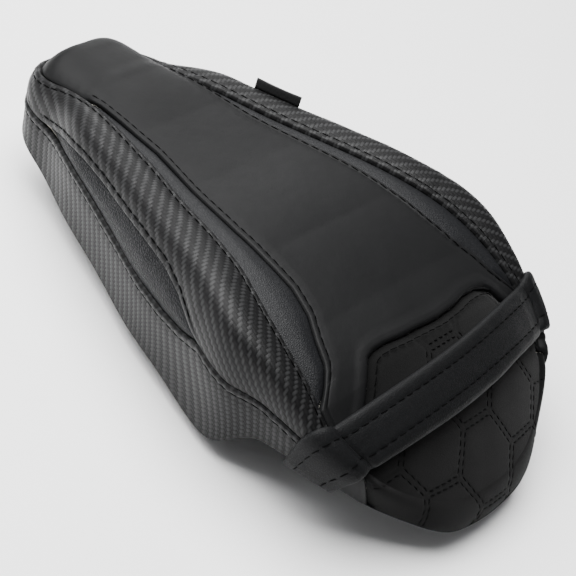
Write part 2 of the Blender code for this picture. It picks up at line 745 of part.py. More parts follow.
# ---------------------------------------------------------------- feet, bosses, brackets
FEET = [(-20.0, 103.0), (20.0, 103.0), (-57.0, 222.0), (57.0, 222.0)]
STEM_RADIUS = 3.5
STEM_LENGTH = 8.0
THREAD_RADIUS = 3.0
BOLT_REACH = 6.0
STRAP_BOLT_X = 70.0
STRAP_BOLT_Y = 293.0
STRAP_BOSS_LOW = 38.0
STRIKER_Y = 58.0
STRIKER_X = 16.0
STRIKER_BOSS_LOW = 27.0
LOOP_HALF = 5.4
LOOP_BAR = 2.0
TONGUE_X = 18.0
TONGUE_Y = 318.0
TONGUE_BOSS_LOW = 31.0
TONGUE_DROP = 22.0
TONGUE_HALF = 26.0
BOSSES = [
    (-STRAP_BOLT_X, STRAP_BOLT_Y, STRAP_BOSS_LOW, 6.5),
    (STRAP_BOLT_X, STRAP_BOLT_Y, STRAP_BOSS_LOW, 6.5),
    (-STRIKER_X, STRIKER_Y, STRIKER_BOSS_LOW, 6.5),
    (STRIKER_X, STRIKER_Y, STRIKER_BOSS_LOW, 6.5),
    (-TONGUE_X, TONGUE_Y, TONGUE_BOSS_LOW, 6.5),
    (TONGUE_X, TONGUE_Y, TONGUE_BOSS_LOW, 6.5),
]
RIB_DEPTH = 9.0
RIB_Z = 33.0 - RIB_DEPTH / 2.0
RIBS = [
    ((90.0, 2.6, RIB_DEPTH), (0.0, 130.0, RIB_Z)),
    ((110.0, 2.6, RIB_DEPTH), (0.0, 160.0, RIB_Z)),
    ((124.0, 2.6, RIB_DEPTH), (0.0, 190.0, RIB_Z)),
    ((2.6, 96.0, RIB_DEPTH), (-22.0, 172.0, RIB_Z)),
    ((2.6, 96.0, RIB_DEPTH), (22.0, 172.0, RIB_Z)),
]


def build_foot(name, x, y):
    """Rubber foot: button with a stem pressed into the pedestal."""
    stem_top = FOOT_HEIGHT + STEM_LENGTH
    profile = [(FOOT_RADIUS - 1.5, 0.0), (FOOT_RADIUS, 1.5), (FOOT_RADIUS, FOOT_HEIGHT - 1.0),
               (FOOT_RADIUS - 1.0, FOOT_HEIGHT), (STEM_RADIUS, FOOT_HEIGHT),
               (STEM_RADIUS, stem_top - 1.0), (STEM_RADIUS - 1.0, stem_top)]
    verts, faces = lathe(profile, 32)
    add_object(name, moved(verts, (x, y, 0.0)), faces, (0.02, 0.02, 0.02), 0.85)


def bolt_mesh():
    """Flanged hexagon bolt, head below z = 0, shank up to BOLT_REACH plus the plate."""
    return [(4.2, -6.0), (4.6, -5.4), (4.6, -1.6), (8.0, -1.5), (8.0, 0.0), (THREAD_RADIUS, 0.0)]


def build_bolt(name, x, y, seat_z, length):
    profile = bolt_mesh() + [(THREAD_RADIUS, length - 0.8), (THREAD_RADIUS - 0.8, length)]
    verts, faces = lathe(profile, 24, hexagon_until=3)
    add_object(name, moved(verts, (x, y, seat_z)), faces, (0.55, 0.55, 0.57), 0.35, 1.0)


def plate_with_holes(name, outline, low, thick, holes, colour=(0.45, 0.45, 0.47), roughness=0.4):
    """Flat plate from a plan outline with round bolt holes."""
    count = len(outline)
    verts = [(x, y, low) for x, y in outline] + [(x, y, low + thick) for x, y in outline]
    faces = [list(range(count))[::-1], [count + i for i in range(count)]]
    faces += [[i, (i + 1) % count, count + (i + 1) % count, count + i] for i in range(count)]
    plate = add_object(name, verts, faces, colour, roughness, 1.0, smooth=False)
    for index, (x, y) in enumerate(holes):
        hole = lathe([(THREAD_RADIUS + 0.4, -3.0), (THREAD_RADIUS + 0.4, thick + 3.0)], 24)
        add_solid(plate, "%s_hole_%d" % (name, index), *hole, (x, y, low), "DIFFERENCE")
    apply_booleans(plate)
    return plate


def chamfered(x_half, y_half, cut, centre):
    cx, cy = centre
    return [(cx - x_half + cut, cy - y_half), (cx + x_half - cut, cy - y_half),
            (cx + x_half, cy - y_half + cut), (cx + x_half, cy + y_half - cut),
            (cx + x_half - cut, cy + y_half), (cx - x_half + cut, cy + y_half),
            (cx - x_half, cy + y_half - cut), (cx - x_half, cy - y_half + cut)]


def tube(path, radius, sides=16):
    """Round bar along a path that lies in an XZ plane."""
    centres = np.array(path, float)
    tangents = unit(np.gradient(centres, axis=0))
    across = np.tile(np.array([0.0, 1.0, 0.0]), (len(path), 1))
    through = np.cross(tangents, across)
    section = [(radius * math.cos(2 * math.pi * i / sides), radius * math.sin(2 * math.pi * i / sides))
               for i in range(sides)]
    return sweep(centres, across, through, section)


def build_striker():
    """Steel plate and round loop that the bike's seat latch grips."""
    plate_low = STRIKER_BOSS_LOW - 0.3 - 2.5
    plate_with_holes("striker_plate", chamfered(24.0, 10.0, 5.0, (0.0, STRIKER_Y)), plate_low, 2.5,
                     [(-STRIKER_X, STRIKER_Y), (STRIKER_X, STRIKER_Y)])
    path = []
    for step in range(13):
        angle = math.pi * step / 12.0
        path.append((LOOP_HALF * math.cos(angle), STRIKER_Y, plate_low - 9.0 - LOOP_HALF * math.sin(angle)))
    path = [(LOOP_HALF, STRIKER_Y, plate_low - 0.3), (LOOP_HALF, STRIKER_Y, plate_low - 4.0)] + path
    path += [(-LOOP_HALF, STRIKER_Y, plate_low - 4.0), (-LOOP_HALF, STRIKER_Y, plate_low - 0.3)]
    verts, faces = tube(path, LOOP_BAR)
    add_object("striker_loop", verts, faces, (0.6, 0.6, 0.62), 0.3, 1.0)
    for side, label in ((-1, "left"), (1, "right")):
        build_bolt("striker_bolt_" + label, side * STRIKER_X, STRIKER_Y, plate_low - 0.3,
                   BOLT_REACH + 2.0)


def build_tongue():
    """Bent steel tongue at the front that hooks under the bike's bracket."""
    high = TONGUE_BOSS_LOW - 0.3
    thick = 2.5
    bend = [(TONGUE_Y - 10.0, high), (TONGUE_Y + 8.0, high), (TONGUE_Y + 14.0, high - TONGUE_DROP),
            (TONGUE_Y + 25.0, high - TONGUE_DROP)]
    upper = np.array([[(x, y, z) for x in (-TONGUE_HALF, TONGUE_HALF)] for y, z in bend])
    verts, faces = between(upper - UP * thick, upper)
    tongue = add_object("front_tongue", verts, faces, (0.45, 0.45, 0.47), 0.4, 1.0, smooth=False)
    for side in (-1, 1):
        hole_verts, hole_faces = lathe([(THREAD_RADIUS + 0.4, -6.0), (THREAD_RADIUS + 0.4, 6.0)], 24)
        add_solid(tongue, "tongue_hole_%d" % side, hole_verts, hole_faces,
                  (side * TONGUE_X, TONGUE_Y, high - thick / 2.0), "DIFFERENCE")
    apply_booleans(tongue)
    for side, label in ((-1, "left"), (1, "right")):
        build_bolt("tongue_bolt_" + label, side * TONGUE_X, TONGUE_Y, high - thick - 0.3,
                   BOLT_REACH + 2.0)


# ---------------------------------------------------------------- grab strap
def strap_w(u):
    """Centre line of the strap across the seat: bowed forward, slightly skewed."""
    return 0.7985 - 0.018 * u * u + 0.017 * u


GRIP_REACH = 0.80
STRAP_ACROSS = np.array([-0.5, -0.3, 0.0, 0.3, 0.5])   # shares of the strap's width
UNDER_THICK = 3.2        # strap end under the pan


def strap_top_rows(u):
    """Points and normals of the cover under the strap, one row per position u."""
    shift = STRAP_ACROSS * STRAP_WIDTH / (V_NOSE - V_TAIL)
    w = strap_w(u)[:, None] + shift[None, :]
    uu = np.tile(u[:, None], (1, len(STRAP_ACROSS)))
    return top_patch(uu, w)


def build_strap_grip():
    weld = Weld()
    points, normals = strap_top_rows(samples(-GRIP_REACH, GRIP_REACH, 17))
    weld.grid(points + normals * (STRAP_CLEAR + STRAP_THICK), normals)
    verts, faces = weld.thick(STRAP_THICK)
    add_object("strap_grip", verts, faces, *STRAP_LEATHER)


def build_strap_leg(name, side):
    """From the end of the grip, over the shoulder, down the wall and under the pan to its bolt."""
    points, normals = strap_top_rows(side * np.array([GRIP_REACH + 0.005, 0.86, 0.92, 0.96, 1.0]))
    thick = [STRAP_THICK, 5.6, 5.0, 4.5, LEG_THICK]
    top_v = side * side_v(strap_w(side * 1.0)) + side * STRAP_ACROSS * STRAP_WIDTH
    s = np.array([0.94, 0.86, 0.76, 0.64, 0.5, 0.35, 0.2, 0.04])
    wall_v = top_v[None, :] - side * STRAP_SLANT * (1.0 - s[:, None])
    wall_rows = wall_patch(wall_v, np.tile(s[:, None], (1, len(top_v))))
    thick += [LEG_THICK] * len(s)
    v = top_v - side * STRAP_SLANT
    edge = hem(v)
    out = outward(v)
    inward = hem(v[2] + (v - v[2]) * 0.8) - out * 13.0 - UP * 1.7
    bolt = np.array([side * STRAP_BOLT_X, STRAP_BOLT_Y, STRAP_BOSS_LOW - 0.3])
    spread = np.array([0.0, 1.0, 0.0]) * (STRAP_ACROSS * STRAP_WIDTH * 0.66)[:, None]
    reach = np.array([side, 0.0, 0.0])
    rows = [edge + out * 0.5 - UP * 0.9, edge - out * 1.6 - UP * 1.8, inward,
            bolt + reach * 9.0 + spread, bolt + spread, bolt - reach * 9.0 + spread]
    facing = [unit(out - UP)] + [np.zeros_like(out) - UP] * 5
    thick += [LEG_THICK - 0.3] + [UNDER_THICK] * 5
    clear = [STRAP_CLEAR] * (len(points) + len(s)) + [0.0] * len(rows)
    points = np.concatenate([points, wall_rows[0], np.array(rows)])
    normals = np.concatenate([normals, wall_rows[1], np.array(facing)])
    lower = points + normals * np.array(clear)[:, None, None]
    upper = lower + normals * np.array(thick)[:, None, None]
    verts, faces = between(lower, upper)
    leg = add_object(name, verts, faces, *STRAP_LEATHER)
    hole_verts, hole_faces = lathe([(THREAD_RADIUS + 0.5, -8.0), (THREAD_RADIUS + 0.5, 3.0)], 24)
    add_solid(leg, name + "_hole", hole_verts, hole_faces, bolt, "DIFFERENCE")
    apply_booleans(leg)


def between(lower, upper):
    """Closed body between two grids of the same size."""
    rows, cols = lower.shape[:2]
    size = rows * cols
    verts = list(lower.reshape(-1, 3)) + list(upper.reshape(-1, 3))
    faces = []
    for r in range(rows - 1):
        for c in range(cols - 1):
            a = r * cols + c
            quad = [a, a + cols, a + cols + 1, a + 1]
            faces.append(quad[:3])
            faces.append([quad[0], quad[2], quad[3]])
            faces.append([i + size for i in (quad[2], quad[1], quad[0])])
            faces.append([i + size for i in (quad[3], quad[2], quad[0])])
    rim = list(range(cols)) + [r * cols + cols - 1 for r in range(1, rows)]
    rim += [(rows - 1) * cols + c for c in range(cols - 2, -1, -1)]
    rim += [r * cols for r in range(rows - 2, 0, -1)]
    for a, b in zip(rim, rim[1:] + rim[:1]):
        faces.append([a, b, b + size, a + size])
    return verts, faces


def build_strap():
    build_strap_grip()
    for side, label in ((-1.0, "left"), (1.0, "right")):
        build_strap_leg("strap_leg_" + label, side)
        plate_top = STRAP_BOSS_LOW - 0.3 - UNDER_THICK - 0.3
        place = (side * STRAP_BOLT_X, STRAP_BOLT_Y)
        plate_with_holes("strap_plate_" + label, chamfered(7.0, 8.5, 2.0, place),
                         plate_top - 2.0, 2.0, [place])
        build_bolt("strap_bolt_" + label, *place, plate_top - 2.3, BOLT_REACH + 6.0)


LABEL_START = 120.0      # distances from the tail centre
LABEL_END = 150.0
LABEL_S = 0.74           # height on the wall
LABEL_LONG = 8.0


def build_label():
    """Blank woven loop label sewn into the left side seam."""
    v = -samples(LABEL_START, LABEL_END, 4)
    base = wall(v, np.full_like(v, LABEL_S))
    face = wall_normal(v, np.full_like(v, LABEL_S))
    along = unit(np.gradient(base, axis=0))
    rise = unit(np.cross(face, along)) * -1.0
    lean = unit(rise + face * 0.8)
    through = unit(np.cross(along, lean))
    section = [(0.0, -0.5), (LABEL_LONG, -0.5), (LABEL_LONG, 0.5), (0.0, 0.5)]
    verts, faces = sweep(base + face * 1.2, lean, through, section)
    add_object("loop_label", verts, faces, (0.018, 0.018, 0.018), 0.8, smooth=False)


# ---------------------------------------------------------------- build
def build():
    for obj in list(bpy.data.objects):
        bpy.data.objects.remove(obj, do_unlink=True)
    build_pan()
    build_foam()
    build_hem()
    build_centre_panel()
    for side, label in ((-1.0, "left"), (1.0, "right")):
        build_wedge("wedge_" + label, side)
        build_band("carbon_band_" + label, side)
        build_insert("grain_insert_" + label, side)
        build_skirt("carbon_skirt_" + label, side)
    build_nose_panel()
    build_label()
    build_strap()
    for index, (x, y) in enumerate(FEET):
        place = ("rear_" if y < 150 else "front_") + ("left" if x < 0 else "right")
        build_foot("foot_" + place, x, y)
    build_striker()
    build_tongue()


build()
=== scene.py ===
"""Looks of the pillion seat: sewn cover panels, quilted nose, grab strap, underside, light and camera.

Lengths are in millimetres in the part's own frame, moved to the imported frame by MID_Y and MM.
"""
import math

import bpy
import numpy as np
from mathutils import Matrix
from mathutils.kdtree import KDTree


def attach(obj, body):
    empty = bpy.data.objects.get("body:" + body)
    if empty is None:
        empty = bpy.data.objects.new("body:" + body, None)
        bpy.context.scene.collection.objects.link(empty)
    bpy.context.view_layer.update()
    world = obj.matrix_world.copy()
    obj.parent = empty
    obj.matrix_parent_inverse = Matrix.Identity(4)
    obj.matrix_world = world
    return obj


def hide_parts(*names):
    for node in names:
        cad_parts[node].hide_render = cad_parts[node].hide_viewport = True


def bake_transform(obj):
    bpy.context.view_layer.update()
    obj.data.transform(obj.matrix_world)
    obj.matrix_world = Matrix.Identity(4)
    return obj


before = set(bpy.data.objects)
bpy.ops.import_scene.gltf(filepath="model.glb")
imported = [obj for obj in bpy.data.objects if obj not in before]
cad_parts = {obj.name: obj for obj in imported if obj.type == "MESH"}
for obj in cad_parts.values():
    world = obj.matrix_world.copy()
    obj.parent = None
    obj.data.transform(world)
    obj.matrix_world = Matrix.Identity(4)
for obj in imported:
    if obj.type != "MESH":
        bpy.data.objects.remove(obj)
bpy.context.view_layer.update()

MM = 0.001
UP = np.array([0.0, 0.0, 1.0])
MID_Y = 180.2
ORIGIN = np.array([0.0, MID_Y, 0.0])
PAN_INSET = 2.4
PAN_LIFT = 1.8
FLANGE = 11.0
FLANK = 14.0
STRAP_WIDTH = 31.0
STRAP_THICK = 6.0
STRAP_CLEAR = 0.6

# Right half of the shoulder line (upper edge of the carbon-look band), tail to nose.
SHOULDER = [
    (0.0, 2.5, 66.0),      # tail centre
    (21.0, 4.0, 67.5),
    (33.5, 12.5, 70.0),    # tail corner
    (36.5, 38.0, 76.5),
    (42.5, 70.0, 82.5),
    (54.5, 115.0, 87.0),
    (66.0, 149.0, 90.5),
    (80.5, 198.0, 94.5),   # highest
    (88.0, 221.0, 92.5),
    (92.5, 238.0, 89.0),
    (95.5, 256.0, 83.5),
    (97.5, 276.0, 75.0),
    (98.5, 294.0, 64.5),   # under the strap
    (85.5, 319.0, 51.0),
    (61.0, 339.0, 39.5),
    (38.0, 349.0, 34.0),   # nose corner
    (19.0, 353.0, 32.0),
    (0.0, 354.0, 32.0),    # nose centre
]
# Right half of the cover's bottom edge, station for station with the shoulder line.
HEM = [
    (0.0, 3.5, 37.0),
    (23.0, 6.0, 35.0),
    (36.5, 16.5, 31.0),
    (43.0, 40.0, 24.0),
    (53.0, 70.0, 19.0),
    (67.5, 115.0, 15.0),
    (80.5, 150.0, 12.5),
    (94.5, 198.0, 11.0),
    (102.5, 231.0, 9.5),   # hip, the lowest part of the skirt
    (105.5, 245.0, 19.0),
    (105.5, 258.0, 33.0),  # step up in front of the hip
    (106.0, 276.0, 39.5),
    (104.5, 296.0, 43.0),
    (87.0, 320.0, 33.5),
    (61.5, 343.0, 23.5),
    (39.5, 356.5, 17.0),
    (20.0, 360.0, 14.5),
    (0.0, 361.0, 14.0),
]
TAIL_CORNER = 2          # stations where the sides turn into the tail and the nose
NOSE_CORNER = 15

# Side wall, as shares of its height: how far its curve leans out and rises at each end.
HEM_LEAN = 0.06
HEM_RISE = 0.42
SHOULDER_LEAN = 0.2325
SHOULDER_RISE = -0.0925
BULGE_LEAN = 0.40        # added at the shoulder along the sides
BULGE_RISE = 0.30
BULGE_GROW = 70.0        # distance past the tail corner over which the bulge grows
HIP_FROM = 220.0         # distance from the tail centre where it grows again for the hip
HIP_GROW = 90.0
HIP_MORE = 0.40
BULGE_FADE_FROM = 342.0  # distance from the tail centre where it starts to fade
BULGE_FADE = 62.0

# Height of the padding above the straight line between the shoulders: (y, height).
CROWN = [(0, 15.0), (10, 16.0), (22, 13.5), (50, 9.0), (90, 5.5), (140, 4.5), (200, 5.0),
         (250, 10.0), (285, 17.0), (315, 16.0), (340, 7.0), (354, 4.0)]
CROWN_POWER = 2.4
CROWN_TAIL = 0.045       # share of the length over which the padding rises at each end
CROWN_NOSE = 0.12

# Pan floor height: (y, z).
FLOOR = [(0, 46.0), (60, 39.0), (120, 32.0), (235, 32.0), (275, 44.0),
         (300, 48.0), (325, 42.0), (362, 26.0)]

# Seams on the side wall: (distance along the shoulder from the tail centre, height 0..1).
INSERT_TOP = [(50, 0.42), (84, 0.51), (112, 0.56), (181, 0.58), (208, 0.57), (227, 0.52), (246, 0.43)]
SKIRT_TOP = [(0, 0.41), (50, 0.42), (97, 0.41), (141, 0.36), (192, 0.33), (215, 0.33), (232, 0.36),
             (247, 0.43), (272, 0.38), (303, 0.36), (345, 0.42)]
INSERT_START = 50.0
INSERT_END = 246.5
BAND_END = 345.0         # bands stop under the strap
LEG_END = 356.0          # the centre panel's legs end here, the nose panel begins

# Seam between centre panel and leather wedge: (position along the side 0..1, width 0..1).
WEDGE = [(0.09, 1.0), (0.13, 0.91), (0.18, 0.86), (0.26, 0.79), (0.35, 0.80), (0.45, 0.79),
         (0.52, 0.755), (0.575, 0.725), (0.62, 0.745), (0.657, 0.81), (0.69, 0.90), (0.708, 1.0)]
WEDGE_START = 0.09


# ---------------------------------------------------------------- curves and surface
def spline(points, knots, at):
    """Natural cubic spline through points at knots."""
    count = len(knots)
    step = np.diff(knots)
    matrix = np.eye(count)
    right = np.zeros((count, points.shape[1]))
    for i in range(1, count - 1):
        matrix[i, i - 1] = step[i - 1]
        matrix[i, i] = 2.0 * (step[i - 1] + step[i])
        matrix[i, i + 1] = step[i]
        after = (points[i + 1] - points[i]) / step[i]
        before = (points[i] - points[i - 1]) / step[i - 1]
        right[i] = 6.0 * (after - before)
    bend = np.linalg.solve(matrix, right)
    cell = np.clip(np.searchsorted(knots, at, side="right") - 1, 0, count - 2)
    width = step[cell]
    b = (at - knots[cell]) / width
    a = 1.0 - b
    curve = a[..., None] * points[cell] + b[..., None] * points[cell + 1]
    curve += ((a ** 3 - a)[..., None] * bend[cell]
              + (b ** 3 - b)[..., None] * bend[cell + 1]) * (width ** 2)[..., None] / 6.0
    return curve


def mirrored_ring(half):
    """Left side, tail, right side, with three stations repeated past the nose at both ends."""
    half = np.array(half, float)
    flip = np.array([-1.0, 1.0, 1.0])
    return np.vstack([half[-4:-1], half[:0:-1] * flip, half, half[-2:-5:-1] * flip])


SHOULDER_RING = mirrored_ring(SHOULDER)
HEM_RING = mirrored_ring(HEM)
TAIL_INDEX = 3 + len(SHOULDER) - 1
_lengths = np.linalg.norm(np.diff(SHOULDER_RING, axis=0), axis=1)
RING_KNOTS = np.concatenate([[0.0], np.cumsum(_lengths)])
RING_KNOTS = RING_KNOTS - RING_KNOTS[TAIL_INDEX]
V_TAIL = RING_KNOTS[TAIL_INDEX + TAIL_CORNER]
V_NOSE = RING_KNOTS[TAIL_INDEX + NOSE_CORNER]
V_END = RING_KNOTS[TAIL_INDEX + len(SHOULDER) - 1]


def wrap(v):
    """Distance along the ring brought back to -V_END .. V_END."""
    return (np.asarray(v, float) + V_END) % (2.0 * V_END) - V_END


def shoulder(v):
    return spline(SHOULDER_RING, RING_KNOTS, wrap(v))


def hem(v):
    return spline(HEM_RING, RING_KNOTS, wrap(v))


def unit(vectors):
    return vectors / np.linalg.norm(vectors, axis=-1, keepdims=True)


def outward(v):
    """Level direction pointing away from the seat, square to the shoulder line."""
    along = shoulder(np.asarray(v) + 0.5) - shoulder(np.asarray(v) - 0.5)
    return unit(np.stack([along[..., 1], -along[..., 0], 0.0 * along[..., 0]], -1))


def ramp(x):
    x = np.clip(x, 0.0, 1.0)
    return x * x * (3.0 - 2.0 * x)


def fullness(v):
    """How far the side bulges: none round the tail and the nose, 1 along the sides."""
    size = np.abs(wrap(v))
    hip = 1.0 + HIP_MORE * ramp((size - HIP_FROM) / HIP_GROW)
    fade = 1.0 - ramp((size - BULGE_FADE_FROM) / BULGE_FADE)
    return ramp((size - V_TAIL) / BULGE_GROW) * hip * fade


def wall(v, s):
    """Side wall: s = 0 at the bottom edge, s = 1 at the shoulder."""
    v, s = np.broadcast_arrays(np.asarray(v, float), np.asarray(s, float))
    low = hem(v)
    high = shoulder(v)
    out = outward(v)
    rise = (high[..., 2] - low[..., 2])[..., None]
    s = s[..., None]
    full = fullness(v)[..., None]
    pull_low = low + (HEM_LEAN * out + HEM_RISE * UP) * rise
    pull_high = high + ((SHOULDER_LEAN + BULGE_LEAN * full) * out
                        + (SHOULDER_RISE + BULGE_RISE * full) * UP) * rise
    return ((1 - s) ** 3 * low + 3 * (1 - s) ** 2 * s * pull_low
            + 3 * (1 - s) * s * s * pull_high + s ** 3 * high)


def side_v(w):
    return V_TAIL + (V_NOSE - V_TAIL) * np.asarray(w, float)


def side_w(v):
    return (np.asarray(v, float) - V_TAIL) / (V_NOSE - V_TAIL)


def coons(ring, u, w):
    """Surface spanned by a closed ring: u across (-1 left .. 1 right), w from tail to nose."""
    u, w = np.broadcast_arrays(np.asarray(u, float), np.asarray(w, float))
    right = ring(side_v(w))
    left = ring(-side_v(w))
    tail = ring(V_TAIL * u)
    nose = ring(V_END - (V_END - V_NOSE) * u)
    a = ((1.0 + u) / 2.0)[..., None]
    b = w[..., None]
    one = np.ones_like(u)
    corners = ((1 - a) * (1 - b) * ring(-V_TAIL * one) + a * (1 - b) * ring(V_TAIL * one)
               + (1 - a) * b * ring(-V_NOSE * one) + a * b * ring(V_NOSE * one))
    return (1 - a) * left + a * right + (1 - b) * tail + b * nose - corners


def graph(table, at):
    """Straight lines through a short table of (position, value)."""
    return np.interp(at, [row[0] for row in table], [row[1] for row in table])


def top(u, w):
    """Upper surface of the seat."""
    u, w = np.broadcast_arrays(np.asarray(u, float), np.asarray(w, float))
    points = coons(shoulder, u, w)
    at_tail = 1.0 - (1.0 - np.minimum(w / CROWN_TAIL, 1.0)) ** 3
    at_nose = 1.0 - (1.0 - np.minimum((1.0 - w) / CROWN_NOSE, 1.0)) ** 2
    height = graph(CROWN, points[..., 1]) * (1.0 - np.abs(u) ** CROWN_POWER)
    points[..., 2] += height * at_tail * at_nose
    return points


def wall_normal(v, s):
    along = wall(v + 0.4, s) - wall(v - 0.4, s)
    rising = wall(v, np.minimum(s + 0.01, 1.0)) - wall(v, np.maximum(s - 0.01, 0.0))
    return unit(np.cross(along, rising))


def top_normal_raw(u, w):
    across = top(np.minimum(u + 0.01, 1.0), w) - top(np.maximum(u - 0.01, -1.0), w)
    along = top(u, np.minimum(w + 0.004, 1.0)) - top(u, np.maximum(w - 0.004, 0.0))
    return unit(np.cross(across, along))


def edge_place(v):
    """Where the shoulder point at v lies on the upper surface."""
    v = wrap(v)
    size = np.abs(v)
    side = np.sign(v)
    past_corner = side * (V_END - size) / (V_END - V_NOSE)
    u = np.where(size < V_TAIL, v / V_TAIL, np.where(size < V_NOSE, side, past_corner))
    w = np.clip(side_w(size), 0.0, 1.0)
    return u, w


def edge_normal(v):
    """Common normal of the wall and the upper surface at the shoulder."""
    u, w = edge_place(v)
    inside = top_normal_raw(u * 0.97, 0.5 + (w - 0.5) * 0.98)
    return unit(inside + wall_normal(wrap(v), np.full_like(np.asarray(v, float), 0.97)))


def top_normal(u, w):
    u, w = np.broadcast_arrays(np.asarray(u, float), np.asarray(w, float))
    normal = top_normal_raw(u, w)
    near_side = ramp((np.abs(u) - 0.95) / 0.04)
    near_end = np.maximum(ramp((0.02 - w) / 0.015), ramp((w - 0.98) / 0.015))
    side_edge = edge_normal(np.where(u < 0, -1.0, 1.0) * side_v(w))
    end_v = np.where(w < 0.5, V_TAIL * u, V_END - (V_END - V_NOSE) * u)
    end_edge = edge_normal(end_v)
    blend = np.where((near_end > near_side)[..., None], end_edge, side_edge)
    weight = np.maximum(near_side, near_end)[..., None]
    return unit(normal * (1.0 - weight) + blend * weight)


def wall_normal_blend(v, s):
    v, s = np.broadcast_arrays(np.asarray(v, float), np.asarray(s, float))
    weight = ramp((s - 0.95) / 0.04)[..., None]
    return unit(wall_normal(v, s) * (1.0 - weight) + edge_normal(v) * weight)


def top_patch(params):
    """Points and normals of the upper surface at a grid of (u, w)."""
    return top(params[..., 0], params[..., 1]), top_normal(params[..., 0], params[..., 1])


def wall_patch(params):
    """Points and normals of the side wall at a grid of (v, s)."""
    return wall(params[..., 0], params[..., 1]), wall_normal_blend(params[..., 0], params[..., 1])


# ---------------------------------------------------------------- mesh helpers
class Shell:
    """Grids of points joined where they coincide, with the border turned in."""

    def __init__(self):
        self.points = []
        self.normals = []
        self.places = []
        self.faces = []
        self.count = 0

    def grid(self, points, normals, places=None):
        rows, cols = points.shape[:2]
        ids = self.count + np.arange(rows * cols).reshape(rows, cols)
        quads = np.stack([ids[:-1, :-1], ids[1:, :-1], ids[1:, 1:], ids[:-1, 1:]], -1).reshape(-1, 4)
        down = points[1:, :-1] - points[:-1, :-1]
        across = points[:-1, 1:] - points[:-1, :-1]
        if np.sum(np.cross(down, across) * normals[:-1, :-1]) < 0.0:
            quads = quads[:, ::-1]
        self.points.append(points.reshape(-1, 3))
        self.normals.append(normals.reshape(-1, 3))
        places = np.zeros_like(points) if places is None else places
        self.places.append(places.reshape(-1, 3))
        self.faces.append(quads)
        self.count += rows * cols

    def build(self, name, look, depth):
        """Mesh object; depth is how far the border turns in below the surface."""
        points = np.vstack(self.points)
        keys = np.round(points / 0.01).astype(np.int64)
        _, first, joined = np.unique(keys, axis=0, return_index=True, return_inverse=True)
        joined = joined.reshape(-1)
        normals = np.zeros((len(first), 3))
        np.add.at(normals, joined, np.vstack(self.normals))
        normals = unit(normals)
        places = np.vstack(self.places)[first]
        points = points[first]
        faces = []
        for quad in joined[np.vstack(self.faces)].tolist():
            loop = [c for i, c in enumerate(quad) if c != quad[i - 1]]
            if len(set(loop)) == len(loop) and len(loop) > 2:
                faces.append(loop)
        if depth:
            points, places, faces = turned_in(points, normals, places, faces, depth)
        return new_object(name, points, faces, look, places)


def turned_in(points, normals, places, faces, depth):
    used = {}
    for face in faces:
        for a, b in zip(face, face[1:] + face[:1]):
            used.setdefault((min(a, b), max(a, b)), []).append((a, b))
    border = [way[0] for way in used.values() if len(way) == 1]
    rim = sorted({i for edge in border for i in edge})
    below = {i: len(points) + k for k, i in enumerate(rim)}
    faces = faces + [[b, a, below[a], below[b]] for a, b in border]
    points = np.vstack([points, points[rim] - normals[rim] * depth])
    places = np.vstack([places, places[rim]])
    return points, places, faces


def linked(name, data):
    """New object in the scene."""
    obj = bpy.data.objects.new(name, data)
    bpy.context.scene.collection.objects.link(obj)
    return obj


def new_object(name, points, faces, look, places=None):
    mesh = bpy.data.meshes.new(name)
    world = (np.asarray(points, float) - ORIGIN) * MM
    mesh.from_pydata(world.tolist(), [], [list(map(int, f)) for f in faces])
    if places is not None:
        layer = mesh.attributes.new("place", "FLOAT_VECTOR", "POINT")
        layer.data.foreach_set("vector", np.asarray(places, np.float32).reshape(-1))
    mesh.polygons.foreach_set("use_smooth", [True] * len(mesh.polygons))
    mesh.materials.append(look)
    mesh.update()
    return linked(name, mesh)


def rows_between(surface, start, stop, near, far, middle):
    """Surface parameters from start to stop, with rows at set distances from both edges."""
    fine = np.linspace(0.0, 1.0, 81)
    track = start[:, None, :] + (stop - start)[:, None, :] * fine[None, :, None]
    points = surface(track[..., 0], track[..., 1])
    steps = np.linalg.norm(np.diff(points, axis=1), axis=2)
    reach = np.hstack([np.zeros((len(start), 1)), np.cumsum(steps, axis=1)])
    total = reach[:, -1:]
    near = np.asarray(near, float)
    far = np.asarray(far, float)
    squeeze = np.minimum(1.0, 0.48 * total / max(near[-1], far[-1]))
    first = near[None, :] * squeeze
    last = total - far[None, ::-1] * squeeze
    share = np.linspace(0.0, 1.0, middle + 2)[1:-1]
    between = first[:, -1:] + (last[:, :1] - first[:, -1:]) * share[None, :]
    target = np.hstack([first, between, last])
    q = np.array([np.interp(t, r, fine) for t, r in zip(target, reach)])
    params = start[:, None, :] + (stop - start)[:, None, :] * q[..., None]
    return params, target, total - target


def run_length(points, axis):
    """Distance travelled along one direction of a grid."""
    steps = np.linalg.norm(np.diff(points, axis=axis), axis=2)
    pad = np.zeros((1, points.shape[1])) if axis == 0 else np.zeros((points.shape[0], 1))
    return np.concatenate([pad, np.cumsum(steps, axis=axis)], axis=axis)


def path_distance(points, path):
    """Distance from each point of a grid to a dense path."""
    flat = points.reshape(-1, 3)
    best = np.full(len(flat), 1e9)
    for start in range(0, len(flat), 4000):
        block = flat[start:start + 4000]
        gap = np.linalg.norm(block[:, None, :] - path[None, :, :], axis=2)
        best[start:start + 4000] = gap.min(axis=1)
    return best.reshape(points.shape[:2])


def resample(path, step):
    lengths = np.concatenate([[0.0], np.cumsum(np.linalg.norm(np.diff(path, axis=0), axis=1))])
    at = np.linspace(0.0, lengths[-1], max(2, int(lengths[-1] / step) + 1))
    return np.stack([np.interp(at, lengths, path[:, k]) for k in range(path.shape[1])], 1)


